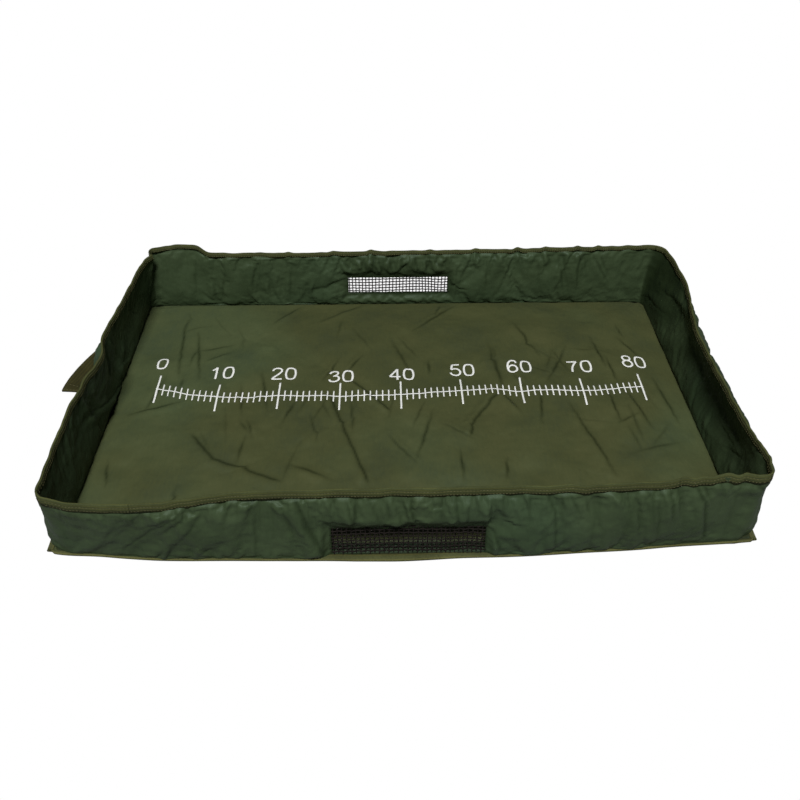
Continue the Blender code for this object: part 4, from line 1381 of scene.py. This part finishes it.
def make_walls():
    """The four padded walls and the eight corner ends, with their rim bindings and stitches.

    Gives back the points of the outer face, for what is sewn to it.
    """
    run, marks, *cloth = make_wall_cloth(WINDOWS)
    names = list(SIDES)
    for index, side in enumerate(names):
        start, end, middle = marks[side]
        body = side + "_wall"
        part, pad = make_piece(body + "_pad", run, *cloth, start, end)
        foot = Vector((*(np.array(SIDES[side]) * SIDE_SIZES[side][0]), LIP_Z))
        seam = Vector((0, 0, float(seam_lift(part.foot[:, 0], part.foot[:, 1]).max())))
        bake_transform(pad)
        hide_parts(body + "_core", body + "_outer_skin", body + "_inner_skin")
        bind_rim(side, part, side + "_rim_binding", side + "_rim_stitches", side + "_rim_tape")
        after = names[(index + 1) % 4]
        next_start = marks[after][0] if index < 3 else len(run.length) - 1
        make_corner_half(side, after, run, cloth, end, middle, False)
        make_corner_half(after, side, run, cloth, middle, next_start, True)
        make_gusset(side, after, run, end, next_start)
    return cloth[1][0][0].reshape(-1, 3)


def make_gusset(side, after, run, low, high):
    """Strip of wall cloth behind the foot of one corner, from the base seam up to the crease.

    It stays with the floor, so that a corner shows cloth where a folded wall lifts off the seam.
    """
    part = run.cut(low + 1, high - 1)
    share = np.linspace(0.0, 1.0, 10)[:, None]
    seam_out, seam_z = (row[None, :] for row in seam_line(part))
    out = (seam_out - 1.6 * MM) * (1 - share) + GUSSET_TOP[0] * share
    z = (seam_z + 0.8 * MM) * (1 - share) + (HINGE_Z + GUSSET_TOP[1]) * share
    near, far = (part.points(out - depth, z) for depth in (0.0, 0.6 * MM))
    uvs = cloth_coordinates(part, share[:, 0] * 0.25, 0.0)
    gusset = shell(side + "_" + after + "_gusset", near, far, WALL_NYLON, uvs, uvs)
    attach(gusset, "floor")
    length, width = (
        float(np.linalg.norm(np.diff(near, axis=axis), axis=2).sum(axis=axis).mean()) for axis in (1, 0))


def make_corner_half(side, other, run, cloth, low, high, towards_end):
    """Unpadded cloth and tape of one side's end, between the middle of the corner and the board."""
    body = side + "_wall"
    part, piece = make_piece(body + "_" + other + "_cloth", run, *cloth, low, high)
    board, corner = (part.foot[-1], part.foot[0]) if towards_end else (part.foot[0], part.foot[-1])
    axis = 0 if SIDES[side][0] == 0 else 1
    begin = Vector((*corner, HINGE_Z))
    finish = begin.copy()
    finish[axis] = board[axis]
    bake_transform(piece)
    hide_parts(body + "_" + other + "_end")
    name = side + "_" + other
    tape = (name if axis == 0 else other + "_" + side) + "_corner_tape"
    bind_rim(side, part, name + "_corner_binding", name + "_stitches", tape, begin)


# Rim tape and stitches

class RunNoise:
    """Smooth random curve round the closed run of the walls; waves is the size of its waves in metres."""

    def __init__(self, waves):
        self.total = RUN_LENGTH
        count = int(RUN_LENGTH / (2 * MM))
        self.places = np.linspace(0.0, RUN_LENGTH, count + 1)
        row = ring_noise(count, waves / (2 * MM) / 4)
        self.row = np.append(row, row[0])

    def __call__(self, place):
        return np.interp(np.mod(place, self.total), self.places, self.row)


RUN_LENGTH = wall_run(WALL_STEP)[0].length[-1]
EDGE_WAVE = RunNoise(0.030)
HEM_WAVE = RunNoise(0.045)
RIM_WAVE = RunNoise(0.022)
CRUMPLE_WAVE = RunNoise(0.014)
# The tape is crumpled round the front right corner, at this place along the run
CRUMPLED_PLACE = 0.80
TAPE_FLARE = 0.35
STITCH_ROWS = (2.8 * MM, 7.2 * MM)


def rim_place(length):
    """Small sideways and upward waves of the sewn rim, the same for the tape and its stitches."""
    crumpled = np.exp(-((length - CRUMPLED_PLACE) / 0.07) ** 2)
    aside = EDGE_WAVE(length) * (0.45 + 0.8 * crumpled) + CRUMPLE_WAVE(length) * 0.6 * crumpled
    lifted = RIM_WAVE(length) * (0.40 + 0.9 * crumpled) + CRUMPLE_WAVE(length + 1.0) * 0.9 * crumpled
    return aside * MM, lifted * MM


def tape_depth(outward):
    """How far the tape reaches down the wall: furthest at the front, least at the rear."""
    return TAPE_DEPTH * np.interp(-outward[:, 1], (-1.0, -0.5, 0.5, 1.0), (0.74, 0.88, 0.94, 1.26))


def tape_points(run):
    """Folded tape along a run's rim, as rings of points: two legs, a round fold and its inner side."""
    turns = np.linspace(math.pi, 0.0, 7)
    aside, lifted = rim_place(run.length)
    hang = tape_depth(run.outward) + HEM_WAVE(run.length) * 0.5 * MM
    outer_half = TAPE_HALF + TAPE_CLOTH
    across = [-outer_half, -outer_half, *(outer_half * np.cos(turns)), outer_half, outer_half]
    down = [1.0, 0.5, *(-0.2 * np.sin(turns)), 0.5, 1.0]
    across += [TAPE_HALF, TAPE_HALF, *(TAPE_HALF * np.cos(turns[::-1])), -TAPE_HALF, -TAPE_HALF]
    down += [1.0, 0.5, *(-0.12 * np.sin(turns) + 0.01), 0.5, 1.0]
    across = np.array(across)[:, None]
    down = np.array(down)[:, None] * hang[None, :]
    flare = 1.0 + TAPE_FLARE * np.clip(down / TAPE_DEPTH, 0, 1)
    out = WALL_MIDDLE + run.lean[None, :] + across * flare + aside[None, :]
    points = run.points(out, RIM_Z - 1.6 * MM + run.rise[None, :] - down + lifted[None, :])
    points[:, :, 0] += run.slide[None, :]
    return points.swapaxes(0, 1)


def ring_mesh(name, rings, material, uv_along):
    """Closed tube through rings of points, with its cloth coordinates along and round it."""
    edge = np.linalg.norm(np.diff(rings, axis=1, append=rings[:, :1]), axis=2)
    around = np.concatenate((np.zeros((len(rings), 1)), np.cumsum(edge, axis=1)[:, :-1]), axis=1)
    uvs = np.stack((np.repeat(uv_along[:, None], rings.shape[1], axis=1), around), axis=2)
    return tube_mesh(name, [rings], material, uvs)


def stitch_row(name, run, down, side):
    """A row of short raised stitches along the tape's leg."""
    total = run.length[-1] - run.length[0]
    count = max(1, int(total / STITCH_PITCH))
    centres = run.length[0] + (np.arange(count) + 0.5) * total / count
    rows = (run.lean, run.rise, tape_depth(run.outward), run.slide, *run.foot.T, *run.outward.T)
    lean, rise, depth, slide, *plan = (np.interp(centres, run.length, row) for row in rows)
    aside, lifted = rim_place(centres)
    flare = 1.0 + TAPE_FLARE * down / TAPE_DEPTH
    out = WALL_MIDDLE + lean + side * (TAPE_HALF + TAPE_CLOTH) * flare + aside
    height = RIM_Z - 1.6 * MM + rise - down * depth / TAPE_DEPTH + lifted
    foot, outward = np.stack(plan[:2], axis=1), unit(np.stack(plan[2:], axis=1))
    flat = np.zeros(count)
    along = with_height(np.stack((-outward[:, 1], outward[:, 0]), axis=1), flat)
    centre = with_height(foot + outward * out[:, None], height)
    centre[:, 0] += slide
    return stitches(name, centre, along, with_height(outward * side, flat))


def stitches(name, centre, along, face):
    """Raised stitches at the given middles: each is a slim lens of six sides along its own direction."""
    turns = np.linspace(0, 2 * math.pi, 7)[:-1]
    ring = np.stack((np.cos(turns), np.sin(turns)), axis=1) * 0.32 * MM
    shape = np.array([
        np.column_stack((np.full(6, share * STITCH_LENGTH), ring * size))
        for share, size in ((-0.5, 0.25), (-0.25, 0.9), (0.25, 0.9), (0.5, 0.25))
    ])
    axes = np.stack((along, face, np.cross(along, face)), axis=1)
    return tube_mesh(name, centre[:, None, None, :] + np.einsum("kra,sac->skrc", shape, axes), THREAD)


def bind_rim(side, run, name, sewn, replaced, start=None):
    """Folded tape over a stretch of rim, with two rows of stitches on each leg.

    It rides on its wall, or, across a corner, keeps its place in the scene.
    """
    pieces = [ring_mesh(name, tape_points(run), RIM_TAPE, run.length)]
    for row, down in enumerate(STITCH_ROWS):
        for leg, sign in (("outer", 1), ("inner", -1)):
            pieces.append(stitch_row(sewn + "_" + leg + "_" + str(row), run, down, sign))
    for item in pieces:
        if start is None:
            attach(item, side + "_wall")
        else:
            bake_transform(item)
    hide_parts(replaced)


# Base tape

def make_base_tape():
    """Binding folded over the base seam, flat on the ground all round, with its rounded corners."""
    corner = 16 * MM
    half_x, half_y = BASE_X - 0.8 * MM, BASE_Y - 0.8 * MM
    centre_x, centre_y = half_x - corner, half_y - corner
    ends = np.array(((-centre_x, half_y), (-half_x, -centre_y), (centre_x, -half_y), (half_x, centre_y)))
    points, outward = [], []
    for quarter, (sx, sy) in enumerate(((1, 1), (-1, 1), (-1, -1), (1, -1))):
        angle = np.linspace(0, math.pi / 2, 13) + quarter * math.pi / 2
        outward.append(np.stack((np.cos(angle), np.sin(angle)), axis=1))
        points.append((sx * centre_x, sy * centre_y) + corner * outward[-1])
        begin, end = points[-1][-1], ends[quarter]
        count = int(np.linalg.norm(end - begin) / (4 * MM))
        share = np.linspace(0, 1, count + 1)[1:-1, None]
        points.append(begin + share * (end - begin))
        outward.append(np.repeat(outward[-1][-1:], len(share), axis=0))
    points, outward = np.concatenate(points), np.concatenate(outward)
    length = np.concatenate(([0.0], np.cumsum(np.linalg.norm(np.diff(points, axis=0), axis=1))))
    lift = 0.5 * MM * np.abs(BASE_WAVE(length - 1.5))
    rings = []
    for out, up in BASE_TAPE_PROFILE:
        height = 2.1 * MM + up * MM + lift * (0.5 if up < 0 else 1.0)
        rings.append(with_height(points + outward * (out * MM), height))
    profile = np.diff(np.array(BASE_TAPE_PROFILE), axis=0, append=[BASE_TAPE_PROFILE[0]])
    across = np.cumsum(np.linalg.norm(profile, axis=1)) * MM
    uvs = np.stack(np.meshgrid(length, across, indexing="ij"), axis=2)
    quads = tube_quads(len(points), len(rings), closed=True)
    tape = mesh_from("base_binding", draw_seam(np.stack(rings, axis=1)), quads, BASE_TAPE, uvs)
    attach(tape, "floor")
    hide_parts("base_tape")


BASE_WAVE = NoiseLine(0.12, 2.6)
# Section of the base tape: distance out from the seam and height, in millimetres
BASE_TAPE_PROFILE = (
    (-9.5, 1.9), (-5, 1.95), (-1.2, 1.9), (0, 1.3), (0.5, 0.2), (0.4, -0.8), (-0.6, -1.7), (-5, -1.9), (-9.5, -1.9),
    (-9.5, -1.2), (-5, -1.2), (-1.6, -1.0), (-1.2, 0.0), (-1.6, 1.1), (-5, 1.2), (-9.5, 1.2),
)


def make_base_cloth():
    """The waterproof base: flat under the pad, stepped up round it into the seam, and 0.8 mm thick.

    Rings run from the middle to the seam on rounded rectangles, with a height for each ring.
    """
    step_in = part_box("floor_core")[1].x
    seam = BASE_X - 2.2 * MM
    halves = [*(step_in + np.array((-440.0, -300.0, -150.0, -40.0, 0.0)) * MM), step_in + 2.2 * MM, seam]
    heights = [0.0] * 5 + [1.3 * MM] * 2
    side, upright = np.linspace(-1.0, 1.0, 61), np.linspace(-1.0, 1.0, 41)
    loop_x = np.concatenate((side[:-1], np.ones(40), side[:0:-1], -np.ones(40)))
    loop_y = np.concatenate((-np.ones(60), upright[:-1], np.ones(60), upright[:0:-1]))
    pull = rounded(loop_x, loop_y)
    rings = []
    for lift, order in ((0.0, 1), (0.8 * MM, -1)):
        for half, height in list(zip(halves, heights))[::order]:
            width = max(half - (BASE_X - BASE_Y), 0.02)
            plan = np.stack((loop_x * pull * half, loop_y * pull * width), axis=1)
            rings.append(draw_seam(with_height(plan, np.full(len(plan), height))) + (0.0, 0.0, lift))
    base = tube_mesh("base_cloth", [np.stack(rings)], BASE_CLOTH)
    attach(base, "floor")
    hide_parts("base_sheet")


# Drain mesh

def make_net(window):
    """Drain net: coated threads woven over and under each other, one every 6 mm or so."""
    side, half, sign = window.side, window.half, window.sign
    columns = round(2 * half / (6.3 * MM))
    rows = round((window.high - window.low) / (6.2 * MM))
    xs = np.linspace(window.centre - half - 3 * MM, window.centre + half + 3 * MM, columns + 2)
    zs = np.linspace(window.low - 1.5 * MM, window.high + 2 * MM, rows + 2)
    thick = 1.1 * MM if window.low > HINGE_Z else 1.0 * MM

    def out(place, places, index, x, z):
        """Distance out of a thread that weaves over and under the ones it crosses at these places."""
        wave = 0.65 * MM * np.cos((place - places[0]) / (places[1] - places[0]) * math.pi) * (-1) ** index
        return sign * (CREASE_Y + window.net_plane(z) + wave + net_sag(window, x, z))

    tubes = []
    for index, x in enumerate(xs):
        z = np.linspace(zs[0], zs[-1], 4 * (len(zs) - 1) + 1)
        path = np.stack((x + 1.0 * MM * MESH_WAVE(z * 4 + x * 7), out(z, zs, index + 1, x, z), z), axis=1)
        tubes.append(thread_tube(path, thick, 2))
    for index, z in enumerate(zs):
        x = np.linspace(xs[0], xs[-1], 4 * (len(xs) - 1) + 1)
        height = z + 1.0 * MM * MESH_WAVE(x * 5 + z * 5)
        path = np.stack((x, out(x, xs, index, x, height), height), axis=1)
        tubes.append(thread_tube(path, 0.95 * thick, 0))
    item = tube_mesh(side + "_net_threads", tubes, MESH_THREAD)
    if window.low < HINGE_Z:
        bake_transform(item)
    else:
        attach(item, side + "_wall")
    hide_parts(side + "_drain_mesh")


def net_sag(window, x, z):
    """The net hangs a little wavy between its sewn edges."""
    inside = ramp(window.half - np.abs(x - window.centre), 0.0, 0.02)
    inside = inside * ramp(np.minimum(z - window.low, window.high - z), -1.0 * MM, 6 * MM)
    return 0.9 * MM * MESH_WAVE(x * 8) * inside


def thread_tube(path, radius, run_axis, sides=6):
    """Rings of points round a thread that runs mainly along one axis, each square to that axis."""
    turns = np.linspace(0, 2 * math.pi, sides + 1)[:-1]
    ring = np.zeros((sides, 3))
    ring[:, 1] = np.cos(turns) * radius
    ring[:, 2 - run_axis] = np.sin(turns) * radius
    return path[:, None, :] + ring[None, :, :]


MESH_WAVE = NoiseLine(0.5, 9.0)


# Strap

# The strap's upper edge turns outwards from the wall until the strap lies level at its free end.
# Share of its length, then distance out and height of its upper edge and of its lower edge, in mm from the
# hinge. The first distances out are those of the wall, and make_strap fills them in.
STRAP_EDGES = (
    (0.00, 0, 20, 0, -20), (0.15, 11, 14, -2, -25), (0.30, 24, 9, 0, -27), (0.50, 35, 6, 2, -24),
    (0.75, 43, 4, 4.5, -17), (1.00, 45, 3, 5, 0.6),
)


def wall_surface(grid, y, z):
    """Distance out of the left wall's outer face at places (y, z): mean of the nearest four points."""
    near = grid[grid[:, 0] < -CREASE_X + 5 * MM]
    distance = np.hypot(near[None, :, 1] - y[:, None], near[None, :, 2] - z[:, None])
    chosen = np.argsort(distance, axis=1)[:, :4]
    return near[chosen, 0].mean(axis=1)


def make_patch(wall, low, high):
    """The strap's sewn patch, which follows the wall's outer face, with a box of stitches round it."""
    across, up = np.meshgrid(np.linspace(low.y, high.y, 14), np.linspace(low.z, high.z, 16))
    x = wall_surface(wall, across.ravel(), up.ravel()).reshape(across.shape)
    for _ in range(6):
        x = np.minimum(x, (np.roll(x, 1, 0) + np.roll(x, -1, 0) + np.roll(x, 1, 1) + np.roll(x, -1, 1)) / 4)
    x = x - 0.6 * MM
    outer, inner = (np.stack((x - depth, across, up), axis=2)[:, ::-1] for depth in (1.5 * MM, 0.0))
    uvs = np.stack((up, across), axis=2)[:, ::-1]
    patch = shell("strap_patch_webbing", outer, inner, WEBBING, uvs, uvs)
    (left, right), (foot, top) = ((start + 4 * MM, end - 4 * MM) for start, end in zip(low.yz, high.yz))
    corners = np.array(((left, foot), (right, foot), (right, top), (left, top)))
    centres, directions = [], []
    for first, last in ((0, 1), (1, 2), (2, 3), (3, 0), (0, 2), (1, 3)):
        run = corners[last] - corners[first]
        length = np.linalg.norm(run)
        count = int(length / STITCH_PITCH)
        places = corners[first] + (np.arange(count)[:, None] + 0.5) / count * run
        out = wall_surface(wall, places[:, 0], places[:, 1]) - 2.3 * MM
        centres.append(np.column_stack((out, places)))
        directions.append(np.repeat([[0.0, *(run / length)]], count, axis=0))
    centres, directions = np.concatenate(centres), np.concatenate(directions)
    rows = stitches("strap_patch_stitches", centres, directions, np.repeat([[-1.0, 0.0, 0.0]], len(centres), axis=0))
    for item in (patch, rows):
        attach(item, "left_wall")
    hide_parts("strap_patch")


def make_strap(wall):
    """The webbing strap outside the left wall, from its sewn patch to its hemmed free end."""
    patch_low, patch_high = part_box("strap_patch")
    strap_low, strap_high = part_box("closure_strap")
    make_patch(wall, patch_low, patch_high)
    length = strap_high.y - strap_low.y
    cloth = patch_high.x - patch_low.x
    hinge = JOINT_PLACES["strap_swing"]
    share = np.linspace(0.0, 1.0, 60)
    ends = np.array((hinge[1], hinge[1])), hinge[2] + np.array((20, -20)) * MM
    root_out = (hinge[0] - wall_surface(wall, *ends) + 1.6 * MM) / MM
    table = np.array(STRAP_EDGES)
    table[0, (1, 3)] = root_out
    fine = np.linspace(-0.1, 1.1, 241)
    rows = (blurred(fine, table[:, 0], table[:, column], 30, 10.0) for column in range(1, 5))
    edges = [np.interp(share, fine, row) * MM for row in rows]
    y = strap_high.y - (length - 7 * MM) * share
    upper, lower = (
        np.stack((hinge[0] - out, y, hinge[2] + rise), axis=1) for out, rise in (edges[:2], edges[2:]))
    up = unit(upper - lower)
    face = unit(np.cross(up, np.array((0.0, -1.0, 0.0))))

    def sag(part, along):
        """How far the strap waves off its straight width, at a share of its width and of its length."""
        return 1.0 * MM * np.sin(along * 7 + part * 2) * along

    thick = np.where(share > 1 - 20 * MM / length, 2.0, 1.0) * cloth
    cross = np.linspace(0.0, 1.0, 13)
    rings = []
    for sign in (1, -1):
        for part in cross[::sign]:
            lifted = face * (sign * thick / 2 + sag(part, share))[:, None]
            rings.append(lower + (upper - lower) * part + lifted)
    strap = ring_mesh("strap_webbing", np.stack(rings, axis=1), WEBBING, share * length)
    centres, directions, faces = [], [], []
    for place in (1 - 17 * MM / length, 1 - 3 * MM / length):
        index = int(round(place * 59))
        for part in (np.arange(8) + 0.5) / 8:
            for sign in (1, -1):
                lifted = face[index] * (sign * (cloth + 0.05 * MM) + sag(part, share[index]))
                centres.append(lower[index] + (upper[index] - lower[index]) * part + lifted)
                directions.append(up[index])
                faces.append(face[index] * sign)
    rows = stitches("strap_hem_stitches", np.array(centres), np.array(directions), np.array(faces))
    for item in (strap, rows):
        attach(item, "strap")
    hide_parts("closure_strap")


# Camera, lights and ground

def make_camera():
    """Camera at the photograph's place: looks along a pitched and turned axis, with a slight roll."""
    pitch, yaw, roll = (math.radians(angle) for angle in (CAMERA_PITCH, CAMERA_YAW, CAMERA_ROLL))
    ahead = Vector((math.sin(yaw) * math.cos(pitch), math.cos(yaw) * math.cos(pitch), -math.sin(pitch)))
    right = Vector((math.cos(yaw), -math.sin(yaw), 0.0))
    up = right.cross(ahead)
    side = right * math.cos(roll) + up * math.sin(roll)
    top = -right * math.sin(roll) + up * math.cos(roll)
    data = bpy.data.cameras.new("camera")
    data.sensor_width = SENSOR
    data.lens = CAMERA_FOCAL_PIXELS / PICTURE_PIXELS * SENSOR
    camera = add_object("camera", data)
    camera.matrix_world = Matrix.Translation(CAMERA_PLACE) @ Matrix((side, top, -ahead)).transposed().to_4x4()
    bpy.context.scene.camera = camera


def make_area(name, place, target, size, power):
    """A soft rectangular lamp that points at a place."""
    data = bpy.data.lights.new(name, "AREA")
    data.shape = "RECTANGLE"
    data.size, data.size_y = size
    data.energy = power
    lamp = add_object(name, data)
    lamp.location = place
    lamp.rotation_euler = (Vector(target) - Vector(place)).to_track_quat("-Z", "Y").to_euler()


def seen_directly(tree):
    """1 for what the camera sees directly or through something clear, and 0 for all other rays."""
    rays = add_node(tree, "LightPath", {}).outputs
    return math_node(tree, "MAXIMUM", rays["Is Camera Ray"], rays["Is Transmission Ray"])


def make_studio():
    """White surroundings for the camera and for reflections, and a far softbox above the front."""
    world = bpy.data.worlds.new("studio")
    bpy.context.scene.world = world
    world.use_nodes = True
    tree = world.node_tree
    strength = map_range(tree, seen_directly(tree), (0.0, 1.0), (0.035, 1.0))
    feed(tree, tree.nodes["Background"], {"Strength": strength, "Color": (1.0, 1.0, 1.0, 1.0)})
    make_area("front_softbox", (-0.25, -3.70, 6.38), (0.0, 0.0, 0.0), (1.85, 1.3), 513.0)

    material, tree, shader = new_material("ground", (0.22, 0.22, 0.22), 0.9)
    glow = add_node(tree, "Emission", {"Color": (1.0, 1.0, 1.0, 1.0)})
    sockets = {0: seen_directly(tree), 1: shader.outputs["BSDF"], 2: glow.outputs["Emission"]}
    mix = add_node(tree, "MixShader", sockets)
    feed(tree, tree.nodes["Material Output"], {"Surface": mix.outputs["Shader"]})
    corners = np.array([(6.0 * x, 6.0 * y, -0.2 * MM) for x, y in ((-1, -1), (1, -1), (1, 1), (-1, 1))])
    mesh_from("ground", corners, np.arange(4)[None, :], material, outwards=False)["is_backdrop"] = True
    bpy.context.scene.view_settings.view_transform = "Standard"


make_camera()
make_studio()
floor = Draped(*make_floor())
make_ruler(floor)
make_base_tape()
make_base_cloth()
WINDOWS = (
    Window("front", "front_drain_mesh", 8 * MM, (15.5 * MM, 10.0 * MM), 4.5 * MM, 3.5 * MM),
    Window("rear", "rear_drain_mesh", 0.0, (7.0 * MM, 6.0 * MM), 3.6 * MM, 0.0, 3.5 * MM),
)
outer_face = make_walls()
for drain_window in WINDOWS:
    make_net(drain_window)
make_strap(outer_face)

SHOWN_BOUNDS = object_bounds()
[[list(corner) for corner in box] for box in (CAD_BOUNDS, SHOWN_BOUNDS)]
